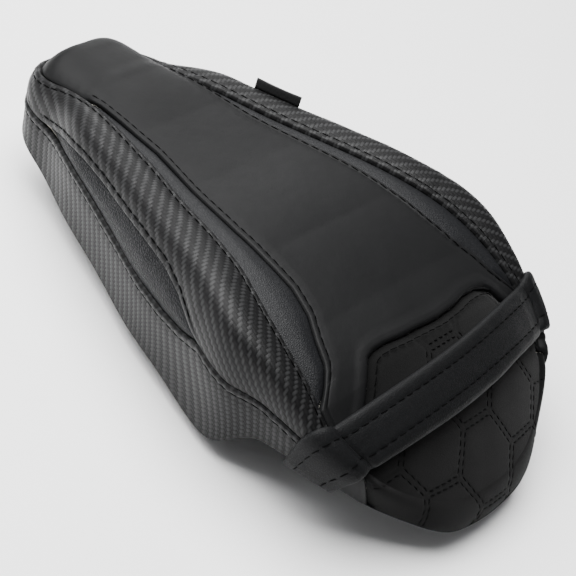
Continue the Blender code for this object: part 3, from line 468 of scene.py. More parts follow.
def ripple(points, size, seed):
    """Smooth waviness between about -1 and 1 over lengths of the given size."""
    total = np.zeros(points.shape[:-1])
    for turn in range(4):
        angle = seed * 1.7 + turn * 2.4
        way = np.array([math.cos(angle), math.sin(angle), 0.6 * math.cos(angle * 2.0 + seed)])
        pitch = size * (0.8 + 0.23 * turn)
        total += np.sin(points @ way * (2.0 * math.pi / pitch) + seed * 3.1 + turn)
    return total / 4.0


def softness(points, size, fine, seed, depth=0.22, fine_depth=0.10):
    """Waviness of a padded panel: long waves with a finer ripple."""
    return depth * ripple(points, size, seed) + fine_depth * ripple(points, fine, seed + 1.0)


# ---------------------------------------------------------------- cloth profiles
STITCH_IN = 4.6          # topstitch inside a folded edge
ROLL = 1.4               # radius of a folded edge
EDGE_ROWS = [0.0, 0.12, 0.35, 0.7, 1.1, 1.8, 2.6, 3.4, 4.0, 4.3, 4.6, 4.9, 5.2, 5.8, 6.8, 8.5]
STITCH_ROW = EDGE_ROWS.index(STITCH_IN)
PLAIN_ROWS = [0.0, 0.12, 0.35, 0.7, 1.1, 1.8, 3.0, 5.0]


def roll(t, radius=ROLL):
    inner = np.clip(radius - t, 0.0, radius)
    return np.sqrt(np.maximum(radius ** 2 - inner ** 2, 0.0)) - radius


def step(t, start, stop):
    return ramp((t - start) / (stop - start))


def dip(t, centre, width):
    return np.exp(-((t - centre) / width) ** 2)


def welt(t, raised=0.55):
    """Folded edge lying on its neighbour: a raised strip held by a row of stitches."""
    strip = raised * (step(t, 0.2, 1.4) - 0.75 * step(t, 3.4, 5.6))
    return roll(t) + strip - 0.35 * dip(t, STITCH_IN, 0.75) + 0.35 * step(t, 5.0, 11.0)


def butt(t, puff=0.3):
    """Edge that disappears under its neighbour's fold."""
    return roll(t, 0.9) - 0.35 * (1.0 - step(t, 0.0, 2.5)) + puff * (step(t, 0.5, 10.0) - 1.0)


def swell(t_in, t_out, full_width):
    """Padding that rises between two edges where the panel is wide enough."""
    width = t_in + t_out
    return 0.9 * np.sin(math.pi * np.clip(t_in / width, 0.0, 1.0)) * ramp(width / full_width)


PITCH = 6.6              # stitch length with its gap


def pucker(t, along):
    """Small waves that each stitch pulls into the cloth."""
    return 0.10 * np.cos(2.0 * math.pi * along / PITCH) * dip(t, STITCH_IN, 2.0)


TUBE_SIDES = 6


def tube_faces(base, stations):
    """Quads and end caps of a tube whose rings of points start at index base."""
    faces = []
    for a in range(base, base + (stations - 1) * TUBE_SIDES, TUBE_SIDES):
        for k in range(TUBE_SIDES):
            n = (k + 1) % TUBE_SIDES
            faces.append([a + k, a + n, a + TUBE_SIDES + n, a + TUBE_SIDES + k])
    last = base + (stations - 1) * TUBE_SIDES
    faces.append([base + k for k in range(TUBE_SIDES)][::-1])
    faces.append([last + k for k in range(TUBE_SIDES)])
    return faces


class Thread:
    """Rows of separate stitches lying on the cloth."""

    def __init__(self, radius=0.30):
        self.radius = radius
        self.points = []
        self.faces = []
        self.count = 0

    def row(self, path, normals, pitch=PITCH, cover=0.80, lift=0.26):
        both = resample(np.hstack([path, normals]), 0.5)
        lengths = np.concatenate([[0.0], np.cumsum(np.linalg.norm(np.diff(both[:, :3], axis=0), axis=1))])
        count = int(lengths[-1] / pitch)
        if count < 1:
            return
        along = np.array([-0.5, -0.42, -0.2, 0.0, 0.2, 0.42, 0.5]) * pitch * cover
        height = np.array([-0.6, 0.3, 0.9, 1.0, 0.9, 0.3, -0.6]) * lift
        centre = (np.arange(count) + 0.5) * lengths[-1] / count
        at = centre[:, None] + along[None, :]

        def read(where, first):
            return np.stack([np.interp(where, lengths, both[:, k]) for k in range(first, first + 3)], -1)

        place = read(at, 0)
        face = unit(read(at, 3))
        ahead = read(at + 0.3, 0) - read(at - 0.3, 0)
        aside = unit(np.cross(unit(ahead + 1e-9), face))
        slant = (along / (pitch * cover))[None, :, None] * 0.35
        middle = place + face * height[None, :, None] + aside * slant
        size = self.radius * np.array([0.45, 0.9, 1.0, 1.0, 1.0, 0.9, 0.45])
        ring = []
        for k in range(TUBE_SIDES):
            angle = 2.0 * math.pi * k / TUBE_SIDES
            ring.append(middle + (aside * math.cos(angle) + face * math.sin(angle)) * size[None, :, None])
        tubes = np.stack(ring, axis=2)
        stations = len(along)
        self.points.append(tubes.reshape(-1, 3))
        for s in range(count):
            self.faces += tube_faces(self.count + s * stations * TUBE_SIDES, stations)
        self.count += count * stations * TUBE_SIDES

    def build(self, name, look):
        return new_object(name, np.vstack(self.points), self.faces, look)


# ---------------------------------------------------------------- materials
def new_look(name, colour, roughness, **inputs):
    mat = bpy.data.materials.new(name)
    mat.use_nodes = True
    shader = mat.node_tree.nodes["Principled BSDF"]
    shader.inputs["Base Color"].default_value = (*colour, 1.0)
    shader.inputs["Roughness"].default_value = roughness
    for label, value in inputs.items():
        shader.inputs[label.replace("_", " ")].default_value = value
    mat.diffuse_color = (*colour, 1.0)
    return mat, mat.node_tree, shader


def add(tree, kind, *links, **values):
    """New node; links are (input name or index, output socket)."""
    node = tree.nodes.new(kind)
    for key, value in values.items():
        if hasattr(node, key):
            setattr(node, key, value)
        else:
            node.inputs[key.replace("_", " ")].default_value = value
    for target, source in links:
        tree.links.new(source, node.inputs[target])
    return node


def maths(tree, operation, *terms):
    node = tree.nodes.new("ShaderNodeMath")
    node.operation = operation
    for index, term in enumerate(terms):
        if isinstance(term, (int, float)):
            node.inputs[index].default_value = term
        else:
            tree.links.new(term, node.inputs[index])
    return node.outputs[0]


def noise(tree, where, scale, detail=3.0, rough=0.5, distortion=0.0):
    node = add(tree, "ShaderNodeTexNoise", ("Vector", where))
    node.inputs["Scale"].default_value = scale
    node.inputs["Detail"].default_value = detail
    node.inputs["Roughness"].default_value = rough
    node.inputs["Distortion"].default_value = distortion
    return node.outputs["Fac"]


def blend_colour(tree, factor, low, high):
    node = tree.nodes.new("ShaderNodeMix")
    node.data_type = "RGBA"
    tree.links.new(factor, node.inputs["Factor"])
    colours = [s for s in node.inputs if s.type == "RGBA"]
    for socket, value in zip(colours, (low, high)):
        if isinstance(value, tuple):
            socket.default_value = (*value, 1.0)
        else:
            tree.links.new(value, socket)
    return [s for s in node.outputs if s.type == "RGBA"][0]


def spread_value(tree, value, low, high, to_low, to_high):
    node = tree.nodes.new("ShaderNodeMapRange")
    tree.links.new(value, node.inputs["Value"])
    for label, number in (("From Min", low), ("From Max", high), ("To Min", to_low), ("To Max", to_high)):
        node.inputs[label].default_value = number
    return node.outputs["Result"]


def bump(tree, shader, height, depth, below=None):
    node = tree.nodes.new("ShaderNodeBump")
    node.inputs["Strength"].default_value = 1.0
    node.inputs["Distance"].default_value = depth
    tree.links.new(height, node.inputs["Height"])
    if below is not None:
        tree.links.new(below, node.inputs["Normal"])
    tree.links.new(node.outputs["Normal"], shader.inputs["Normal"])
    return node.outputs["Normal"]


def paint(tree, shader, colour, roughness=None):
    tree.links.new(colour, shader.inputs["Base Color"])
    if roughness is not None:
        tree.links.new(roughness, shader.inputs["Roughness"])


def object_place(tree):
    return tree.nodes.new("ShaderNodeTexCoord").outputs["Object"]


def vinyl_look():
    """Smooth matte vinyl: faint pore grain and slow colour drift."""
    mat, tree, shader = new_look("vinyl_matte", (0.006, 0.006, 0.0062), 0.5, Specular_IOR_Level=0.10)
    where = object_place(tree)
    drift = noise(tree, where, 16.0, 3.0, 0.55)
    colour = blend_colour(tree, drift, (0.0036, 0.0037, 0.0039), (0.0044, 0.0045, 0.0047))
    paint(tree, shader, colour, spread_value(tree, drift, 0.3, 0.7, 0.47, 0.56))
    first = bump(tree, shader, noise(tree, where, 900.0, 2.0, 0.6), 0.00005)
    bump(tree, shader, noise(tree, where, 90.0, 2.0, 0.5), 0.00025, first)
    return mat


def leather_look(name, low, high, roughness, depth, cell, shine=0.17):
    """Grained leather: rounded cells between fine creases."""
    mat, tree, shader = new_look(name, high, roughness, Specular_IOR_Level=shine)
    where = object_place(tree)
    warp = add(tree, "ShaderNodeTexNoise", ("Vector", where))
    warp.inputs["Scale"].default_value = 240.0
    warp.inputs["Detail"].default_value = 2.0
    bent = add(tree, "ShaderNodeVectorMath", operation="MULTIPLY_ADD")
    tree.links.new(warp.outputs["Color"], bent.inputs[0])
    bent.inputs[1].default_value = (0.0022, 0.0022, 0.0022)
    tree.links.new(where, bent.inputs[2])
    cells = add(tree, "ShaderNodeTexVoronoi", ("Vector", bent.outputs[0]), feature="DISTANCE_TO_EDGE")
    cells.inputs["Scale"].default_value = cell
    crease = spread_value(tree, cells.outputs["Distance"], 0.0, 0.28, 0.0, 1.0)
    fine = noise(tree, where, 1900.0, 2.0, 0.6)
    height = maths(tree, "MULTIPLY_ADD", fine, 0.25, crease)
    drift = noise(tree, where, 26.0, 3.0, 0.55)
    tone = blend_colour(tree, drift, low, high)
    dark = tuple(c * 0.62 for c in low)
    colour = blend_colour(tree, crease, dark, tone)
    paint(tree, shader, colour, spread_value(tree, crease, 0.0, 1.0, roughness + 0.14, roughness))
    bump(tree, shader, height, depth)
    return mat


TOW = 2.0                # width of one tow of the twill
BAND_TWILL = math.radians(6.0)      # turn of the cloth on each panel
SKIRT_TWILL = math.radians(146.0)


def twill_look():
    """Carbon-look vinyl: 2 x 2 twill pressed into a glossy face, with the tows' glints painted into the
    colour.
    """
    mat, tree, shader = new_look("carbon_twill", (0.02, 0.02, 0.021), 0.45, Specular_IOR_Level=0.12)
    place = add(tree, "ShaderNodeAttribute", attribute_name="place").outputs["Vector"]
    parts = add(tree, "ShaderNodeSeparateXYZ", ("Vector", place))
    a = maths(tree, "DIVIDE", parts.outputs["X"], TOW)
    b = maths(tree, "DIVIDE", parts.outputs["Y"], TOW)
    i = maths(tree, "FLOOR", a)
    j = maths(tree, "FLOOR", b)
    phase = maths(tree, "FLOORED_MODULO", maths(tree, "ADD", i, j), 4.0)
    warp_up = maths(tree, "LESS_THAN", phase, 1.5)
    along_warp = maths(tree, "DIVIDE", maths(tree, "FLOORED_MODULO", maths(tree, "ADD", b, i), 4.0), 2.0)
    along_weft = maths(tree, "DIVIDE", maths(tree, "SUBTRACT", maths(
        tree, "FLOORED_MODULO", maths(tree, "ADD", a, j), 4.0), 2.0), 2.0)
    across_warp = maths(tree, "FRACT", a)
    across_weft = maths(tree, "FRACT", b)

    def arch(value):
        return maths(tree, "SINE", maths(tree, "MULTIPLY", value, math.pi))

    def pick(one, two):
        return maths(tree, "ADD", maths(tree, "MULTIPLY", one, warp_up),
                     maths(tree, "MULTIPLY", two, maths(tree, "SUBTRACT", 1.0, warp_up)))

    along = arch(pick(along_warp, along_weft))
    across = arch(pick(across_warp, across_weft))
    body = maths(tree, "POWER", maths(tree, "MULTIPLY", maths(tree, "MAXIMUM", along, 0.0),
                                      maths(tree, "MAXIMUM", across, 0.0)), 0.5)
    fibres = arch(maths(tree, "MULTIPLY", pick(across_warp, across_weft), 7.0))
    height = maths(tree, "MULTIPLY_ADD", fibres, 0.05, body)
    drift = noise(tree, object_place(tree), 30.0, 2.0, 0.5)
    # Painted light: warp tows get a lighter colour as a painted highlight and weft tows a darker one as
    # painted shade, in place of the glint that alternate tows catch; both also drift a little at random.
    warp_drift_and_painted_glint = blend_colour(tree, drift, (0.0165, 0.0167, 0.0171), (0.0205, 0.0207, 0.0212))
    weft_drift_and_painted_shade = blend_colour(tree, drift, (0.0034, 0.0034, 0.0036), (0.0048, 0.0048, 0.0050))
    tone = blend_colour(tree, warp_up, weft_drift_and_painted_shade, warp_drift_and_painted_glint)
    # Each tow turns darker towards its edges and ends.
    colour = blend_colour(tree, body, (0.0010, 0.0010, 0.0011), tone)
    paint(tree, shader, colour, spread_value(tree, warp_up, 0.0, 1.0, 0.50, 0.38))
    bump(tree, shader, height, 0.00009)
    return mat


def suede_look():
    """Suede: short nap with brushed patches."""
    mat, tree, shader = new_look("suede_nap", (0.02, 0.02, 0.02), 0.95, Specular_IOR_Level=0.08,
                                 Sheen_Weight=0.05, Sheen_Roughness=0.5)
    where = object_place(tree)
    patch = noise(tree, where, 34.0, 4.0, 0.65, 0.6)
    nap = noise(tree, where, 1500.0, 3.0, 0.7)
    tone = blend_colour(tree, spread_value(tree, patch, 0.3, 0.7, 0.0, 1.0),
                        (0.0020, 0.0020, 0.0020), (0.0029, 0.0029, 0.0029))
    colour = blend_colour(tree, spread_value(tree, nap, 0.3, 0.7, 0.0, 1.0), (0.0014, 0.0014, 0.0014), tone)
    paint(tree, shader, colour)
    bump(tree, shader, nap, 0.00022)
    return mat


def thread_look(name, low, high):
    """Twisted sewing thread."""
    mat, tree, shader = new_look(name, low, 0.7, Specular_IOR_Level=0.03)
    where = object_place(tree)
    ply = add(tree, "ShaderNodeTexWave", ("Vector", where), bands_direction="DIAGONAL")
    ply.inputs["Scale"].default_value = 900.0
    ply.inputs["Distortion"].default_value = 1.0
    colour = blend_colour(tree, ply.outputs["Fac"], low, high)
    paint(tree, shader, colour)
    bump(tree, shader, ply.outputs["Fac"], 0.00012)
    return mat


def moulded_look(name, low, high, roughness, scale, depth):
    """Moulded plastic, rubber or foam: fine even texture with faint stains."""
    mat, tree, shader = new_look(name, high, roughness, Specular_IOR_Level=0.4)
    where = object_place(tree)
    drift = noise(tree, where, 40.0, 4.0, 0.6)
    tree.links.new(blend_colour(tree, drift, low, high), shader.inputs["Base Color"])
    tree.links.new(spread_value(tree, drift, 0.3, 0.7, roughness - 0.06, roughness + 0.08),
                   shader.inputs["Roughness"])
    bump(tree, shader, noise(tree, where, scale, 3.0, 0.6), depth)
    return mat


def steel_look():
    """Zinc-plated steel: mottled plating with fine scratches."""
    mat, tree, shader = new_look("zinc_steel_plated", (0.52, 0.53, 0.55), 0.34, Metallic=1.0)
    where = object_place(tree)
    spangle = add(tree, "ShaderNodeTexVoronoi", ("Vector", where))
    spangle.inputs["Scale"].default_value = 260.0
    tint = noise(tree, where, 70.0, 4.0, 0.6)
    colour = blend_colour(tree, tint, (0.42, 0.43, 0.45), (0.60, 0.61, 0.62))
    paint(tree, shader, colour, spread_value(tree, spangle.outputs["Distance"], 0.0, 1.0, 0.26, 0.46))
    bump(tree, shader, noise(tree, where, 700.0, 3.0, 0.6), 0.00004)
    return mat


def woven_look(name, low, high, pitch):
    """Plain woven tape."""
    mat, tree, shader = new_look(name, high, 0.8, Specular_IOR_Level=0.25)
    where = object_place(tree)
    scale = 1.0 / pitch
    cells = add(tree, "ShaderNodeTexVoronoi", ("Vector", where), feature="F1", distance="CHEBYCHEV")
    cells.inputs["Scale"].default_value = scale
    cells.inputs["Randomness"].default_value = 0.12
    colour = blend_colour(tree, cells.outputs["Distance"], high, low)
    paint(tree, shader, colour)
    bump(tree, shader, maths(tree, "SUBTRACT", 1.0, cells.outputs["Distance"]), 0.0002)
    return mat


VINYL = vinyl_look()
WEDGE_LEATHER = leather_look("leather_fine", (0.0034, 0.0037, 0.0046), (0.0043, 0.0047, 0.0058),
                             0.44, 0.00010, 900.0)
INSERT_LEATHER = leather_look("leather_grain", (0.0036, 0.0040, 0.0050), (0.0048, 0.0053, 0.0065),
                              0.42, 0.00026, 560.0, 0.10)
STRAP_LOOK = leather_look("leather_strap", (0.0035, 0.0037, 0.0041), (0.0044, 0.0046, 0.0050),
                          0.48, 0.00010, 820.0, 0.11)
CARBON = twill_look()
SUEDE = suede_look()
THREAD = thread_look("thread_black", (0.0003, 0.0003, 0.0003), (0.0009, 0.0009, 0.0009))
SUEDE_THREAD = thread_look("thread_quilt", (0.0003, 0.0003, 0.0003), (0.0009, 0.0009, 0.0009))
PAN = moulded_look("pan_moulded", (0.020, 0.020, 0.021), (0.030, 0.030, 0.031), 0.55, 1400.0, 0.00010)
RUBBER = moulded_look("foot_moulded_rubber", (0.013, 0.013, 0.013), (0.022, 0.022, 0.022),
                      0.8, 900.0, 0.00006)
FOAM = moulded_look("foam_open_cell", (0.24, 0.23, 0.20), (0.34, 0.33, 0.29), 0.95, 800.0, 0.0005)
HEM_LOOK = leather_look("leather_hem", (0.010, 0.010, 0.011), (0.015, 0.015, 0.016), 0.6, 0.00012, 900.0)
LABEL_LOOK = woven_look("label_woven", (0.008, 0.008, 0.008), (0.026, 0.026, 0.027), 0.0007)
STEEL = steel_look()


# ---------------------------------------------------------------- cover panels
BORDER_DEPTH = 2.0       # how far a panel's border turns in


def on_seat(piece, stands_for=None):
    """Ride on the seat, in place of a CAD node."""
    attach(piece, "seat")
    if stands_for is not None:
        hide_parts(stands_for)


def finish_panel(shell, name, look):
    piece = shell.build("cover_" + name, look, BORDER_DEPTH)
    on_seat(piece, name)


# Rear edge of the nose panel, left to right: (width -1..1, position along the side 0..1).
NOSE_EDGE = [(-0.86, 0.792), (-0.74, 0.742), (-0.675, 0.716), (-0.63, 0.708), (-0.53, 0.705),
             (-0.39, 0.707), (-0.26, 0.713), (-0.07, 0.717), (0.10, 0.715), (0.27, 0.713),
             (0.42, 0.709), (0.51, 0.709), (0.565, 0.714), (0.60, 0.725), (0.71, 0.758), (0.85, 0.792)]
CORNER_RIGHT = 0.52      # columns of the centre panel that meet the nose panel's rear corners
CORNER_LEFT = -0.60
CORNER_W = 0.710


SEAM_TIP = 0.733         # front tip of the leather wedge, under the strap's rear edge
SEAM = [row for row in WEDGE if row[0] < 0.66] + [(0.69, 0.85), (0.712, 0.92), (SEAM_TIP, 1.0)]


def wedge_edge(w):
    return np.where((w <= WEDGE_START) | (w >= SEAM_TIP), 1.0, graph(SEAM, w))


def offset_path(points, amount):
    """Path in the surface's own parameters moved sideways by a distance in millimetres."""
    dense = resample(np.array(points, float), 0.01)
    at = top(dense[:, 0], dense[:, 1])
    normals = top_normal(dense[:, 0], dense[:, 1])
    tangent = unit(np.gradient(at, axis=0))
    aside = unit(np.cross(tangent, normals))
    return at + aside * amount, normals


def smooth_path(path, rounds=3):
    for _ in range(rounds):
        path = np.vstack([path[:1], (path[:-2] + 2.0 * path[1:-1] + path[2:]) / 4.0, path[-1:]])
    return path


nose_stitch, nose_stitch_normals = offset_path(NOSE_EDGE, -STITCH_IN)
nose_stitch = resample(smooth_path(nose_stitch, 12), 0.8)
seam_line = resample(top(*resample(np.array(NOSE_EDGE, float), 0.01).T), 0.6)

PANEL_SPAN = V_NOSE - V_TAIL
END_ROWS = np.array([0.0, 0.12, 0.35, 0.7, 1.1, 1.8, 3.0, 4.4, 4.7, 5.0, 6.0])
INNER_ROWS = [0.0, 1.5, 3.5]
FOLD_FAR = 0.49          # height that a stitched fold settles at, away from its edge


def leg_edge(s):
    """Front edge of the centre panel's legs down the side wall."""
    return LEG_END + 1.0 + 14.0 * (1.0 - s) ** 1.2


REAR_EDGE = ([(CORNER_LEFT, CORNER_W)] + [r for r in NOSE_EDGE if CORNER_LEFT < r[0] < CORNER_RIGHT]
             + [(CORNER_RIGHT, CORNER_W)])


NOSE_THREAD = 0.44       # height of the stitched groove beside the nose panel


def fold_softness(points):
    """Slow waviness of the centre panel."""
    return softness(points, 120.0, 42.0, 1.0, fine_depth=0.08)


def nose_fold(points, line):
    """Soft fold beside the nose panel's edge, pulled down along its stitches."""
    t_nose = path_distance(points, line)
    strip = 0.7 * (step(t_nose, 0.2, 1.8) - 0.8 * step(t_nose, 4.2, 9.0))
    return roll(t_nose, 1.5) + strip - 0.5 * dip(path_distance(points, nose_stitch), 0.0, 0.8)


def centre_heights(points, w, t_side, t_tail):
    open_side = ramp((w - WEDGE_START) / 0.02)
    side = welt(t_side) * open_side + butt(t_side) * (1.0 - open_side)
    soft = fold_softness(points) + pucker(t_side, points[..., 1])
    return side + nose_fold(points, seam_line) + soft + butt(t_tail) - FOLD_FAR * 0.5


def build_centre(threads):
    shell = Shell()
    w = np.concatenate([END_ROWS, np.arange(8.0, CORNER_W * PANEL_SPAN - 8.0, 1.7),
                        CORNER_W * PANEL_SPAN - END_ROWS[::-1]]) / PANEL_SPAN

    def shifted(params):
        edge = graph(REAR_EDGE, params[..., 0])
        moved = params.copy()
        moved[..., 1] += (edge - CORNER_W) * ramp((params[..., 1] - 0.6) / (CORNER_W - 0.6))
        return moved

    def lay(params, t_side):
        params = shifted(params)
        points, normals = top_patch(params)
        t_tail = params[..., 1] * PANEL_SPAN
        high = centre_heights(points, params[..., 1], t_side, t_tail)
        final = points + normals * high[..., None]
        shell.grid(final, normals)
        return final, normals

    def lay_leg(surface, patch, outer, inner, side):
        params, t_side, _ = rows_between(surface, outer, inner, EDGE_ROWS, INNER_ROWS, 12)
        points, normals = patch(params)
        shell.grid(points + normals * leg_heights(points, t_side, side)[..., None], normals)

    for side, corner in ((1.0, CORNER_RIGHT), (-1.0, CORNER_LEFT)):
        start = np.stack([side * wedge_edge(w), w], 1)
        stop = np.stack([np.full_like(w, corner), w], 1)
        params, t_side, _ = rows_between(top, start, stop, EDGE_ROWS, INNER_ROWS, 12)
        final, normals = lay(params, t_side)
        first = np.argmax(w > WEDGE_START + 0.012)
        threads.row(final[first:, STITCH_ROW], normals[first:, STITCH_ROW])
        # leg over the shoulder
        beyond = [r for r in NOSE_EDGE if r[0] * side > abs(corner) and r[1] > CORNER_W]
        inner = sorted([(corner, CORNER_W)] + beyond, key=lambda r: r[1]) + [(side, side_w(leg_edge(1.0)))]
        inner = resample(np.array(inner, float), 0.006)
        share = np.linspace(0.0, 1.0, len(inner))
        outer_w = CORNER_W + (side_w(BAND_END + 1.0) - CORNER_W) * share
        outer = np.stack([side * wedge_edge(outer_w), outer_w], 1)
        lay_leg(top, top_patch, outer, inner, side)
        s = np.linspace(1.0, 0.0, 30)
        start = np.stack([np.full_like(s, BAND_END + 1.0), s], 1)
        stop = np.stack([leg_edge(s), s], 1)
        signed = np.array([side, 1.0])
        lay_leg(wall, wall_patch, start * signed, stop * signed, side)
    columns = np.linspace(CORNER_RIGHT, CORNER_LEFT, 64)
    params = np.stack(np.broadcast_arrays(columns[None, :], w[:, None]), -1)
    far = np.full(params.shape[:2], 60.0)
    lay(params, far)
    high = NOSE_THREAD + fold_softness(nose_stitch)
    threads.row(nose_stitch + nose_stitch_fit * high[:, None], nose_stitch_fit)
    finish_panel(shell, "centre_panel", VINYL)


def leg_heights(points, t_side, side):
    return welt(t_side) + nose_fold(points, leg_lines[side]) + fold_softness(points) - FOLD_FAR * 0.5


def leg_line(side):
    """The nose panel's rear edge carried on down the side wall."""
    s = np.linspace(1.0, 0.0, 50)
    return np.vstack([seam_line, wall(side * leg_edge(s), s)])


leg_lines = {1.0: leg_line(1.0), -1.0: leg_line(-1.0)}
nose_stitch_fit = unit(np.array([nose_stitch_normals[np.argmin(np.linalg.norm(
    offset_path(NOSE_EDGE, -STITCH_IN)[0] - p, axis=1))] for p in nose_stitch]))


def build_cover_wedge(name, side):
    shell = Shell()
    w = np.linspace(WEDGE_START + 0.003, SEAM_TIP - 0.001, 170)
    start = np.stack([side * wedge_edge(w), w], 1)
    stop = np.stack([np.full_like(w, side), w], 1)
    params, t_in, t_out = rows_between(top, start, stop, PLAIN_ROWS, PLAIN_ROWS, 14)
    points, normals = top_patch(params)
    high = butt(t_in, 0.7) + butt(t_out, 0.7) + swell(t_in, t_out, 14.0) + 0.2 * ripple(points, 60.0, 5.0)
    shell.grid(points + normals * high[..., None], normals)
    finish_panel(shell, name, WEDGE_LEATHER)


def twill_place(v, rise, turn):
    """Cloth coordinates: along and across the tows."""
    c, s = math.cos(turn), math.sin(turn)
    return np.stack([v * c + rise * s, rise * c - v * s, 0.0 * v], -1)


def wall_stations(start, stop, spacing=1.6):
    inside = np.arange(start + 7.0, stop - 7.0, spacing)
    return np.concatenate([start + END_ROWS[:-1], inside, stop - END_ROWS[:-1][::-1]])


def wall_panel(name, side, v, low, high_edge, rows, heights, look, threads, stitched,
               twill=0.0):
    shell = Shell()
    signed = np.array([side, 1.0])
    start = np.stack([v, high_edge], 1) * signed
    stop = np.stack([v, low], 1) * signed
    params, t_top, t_low = rows_between(wall, start, stop, rows[0], rows[1], 14)
    points, normals = wall_patch(params)
    high = heights(points, v[:, None], t_top, t_low)
    final = points + normals * high[..., None]
    rise = wall_drop(params)
    shell.grid(final, normals, twill_place(v[:, None] + 0.0 * rise, rise, twill))
    for row, first, last in stitched:
        keep = (v > first) & (v < last)
        threads.row(final[keep, row], normals[keep, row])
    finish_panel(shell, name, look)


def wall_drop(params):
    """Distance down the wall from the shoulder."""
    v, s = params[..., 0], params[..., 1]
    fine = np.linspace(1.0, 0.0, 21)
    reach = run_length(wall(v[:, 0][:, None], fine[None, :]), 1)
    return -np.array([np.interp(1.0 - row, 1.0 - fine, lengths) for row, lengths in zip(s, reach)])


def build_cover_band(name, side, threads):
    v = wall_stations(0.3, BAND_END)
    beside = (v > INSERT_START) & (v < INSERT_END)
    bottom = np.where(beside, graph(INSERT_TOP, v), graph(SKIRT_TOP, v))

    def heights(points, v, t_top, t_low):
        near_insert = ramp((v - INSERT_START) / 8.0) * ramp((INSERT_END - v) / 6.0)
        low = welt(t_low, 0.5) * near_insert + butt(t_low) * (1.0 - near_insert)
        soft = softness(points, 46.0, 19.0, 3.0)
        ends = roll(np.abs(v) + 0.0 * t_top, 0.9)
        return welt(t_top, 0.75) + low + soft + ends + pucker(t_top, v) + pucker(t_low, v)

    wall_panel(name, side, v, bottom, np.ones_like(v), (EDGE_ROWS, EDGE_ROWS), heights, CARBON,
               threads,
               [(STITCH_ROW, 3.0, BAND_END - 2.0),
                (-1 - STITCH_ROW, INSERT_START + 4.0, INSERT_END - 6.0)],
               BAND_TWILL)


def build_cover_insert(name, side, threads):
    v = np.concatenate([np.arange(INSERT_START + 1.5, INSERT_END - 0.5, 1.6), [INSERT_END - 0.5]])

    def heights(points, v, t_top, t_low):
        creases = 0.22 * ripple(points, 15.0, 6.0) * ramp((v - 150.0) / 60.0)
        return butt(t_top, 0.9) + butt(t_low, 0.9) + swell(t_top, t_low, 12.0) + creases

    wall_panel(name, side, v, graph(SKIRT_TOP, v), graph(INSERT_TOP, v), (PLAIN_ROWS, PLAIN_ROWS),
               heights, INSERT_LEATHER, threads, [])


def build_cover_skirt(name, side, threads):
    v = wall_stations(0.3, BAND_END)

    def heights(points, v, t_top, t_low):
        soft = softness(points, 50.0, 21.0, 7.0)
        ends = roll(np.abs(v) + 0.0 * t_top, 0.9)
        return welt(t_top, 0.8) + soft * ramp(t_low / 8.0) + ends + pucker(t_top, v)

    wall_panel(name, side, v, np.zeros_like(v), graph(SKIRT_TOP, v), (EDGE_ROWS, PLAIN_ROWS), heights,
               CARBON, threads, [(STITCH_ROW, 3.0, BAND_END - 2.0)],
               SKIRT_TWILL)


# ---------------------------------------------------------------- quilted nose panel
CELL = 27.0              # side of a quilting hexagon
PAIR = 1.8               # half the spacing of the two stitch rows
CELL_LINE = 0.868        # position along the side of the hexagon edge nearest the strap
APOTHEM = CELL * math.sqrt(3.0) / 2.0
QUILT_PITCH = 4.6        # stitch length with its gap
SHORT_ROW = 8            # a row with fewer points than this is left out


def slope_length(w):
    """Distance down the nose from its rear edge, along the centre line."""
    fine = np.linspace(0.69, 1.0, 120)
    line = top(np.zeros_like(fine), fine)
    lengths = np.concatenate([[0.0], np.cumsum(np.linalg.norm(np.diff(line, axis=0), axis=1))])
    return np.interp(w, fine, lengths)


HEX_Y = float(slope_length(CELL_LINE))


def hex_edge(chart):
    """Distance from each chart point to the nearest quilting line."""
    x = chart[..., 0]
    y = chart[..., 1] - HEX_Y - APOTHEM
    column = np.round(x / (1.5 * CELL))
    best = np.full(x.shape, 1e9)
    near_x = np.zeros_like(x)
    near_y = np.zeros_like(y)
    for shift in (-1, 0, 1):
        c = column + shift
        odd = np.abs(np.mod(c, 2.0))
        cy = (np.round(y / (2.0 * APOTHEM) - 0.5 * odd) + 0.5 * odd) * 2.0 * APOTHEM
        cx = c * 1.5 * CELL
        gap = np.hypot(x - cx, y - cy)
        closer = gap < best
        best = np.where(closer, gap, best)
        near_x = np.where(closer, cx, near_x)
        near_y = np.where(closer, cy, near_y)
    dx, dy = x - near_x, y - near_y
    reach = np.abs(dy)
    for angle in (30.0, 150.0):
        a = math.radians(angle)
        reach = np.maximum(reach, np.abs(dx * math.cos(a) + dy * math.sin(a)))
    return APOTHEM - reach


def quilt_height(chart, t_edge, points):
    t = hex_edge(chart)
    channel = -0.14 * dip(t, PAIR, 0.8) - 0.08 * (1.0 - step(t, 0.0, 3.0))
    pillow = 0.20 * (1.0 - np.exp(-np.maximum(t - PAIR, 0.0) / 6.0))
    edge = roll(t_edge, 1.0) - 1.5 * (1.0 - step(t_edge, 0.0, 6.0))
    return channel + pillow + edge + 0.15 * ripple(points, 30.0, 9.0) - 0.3


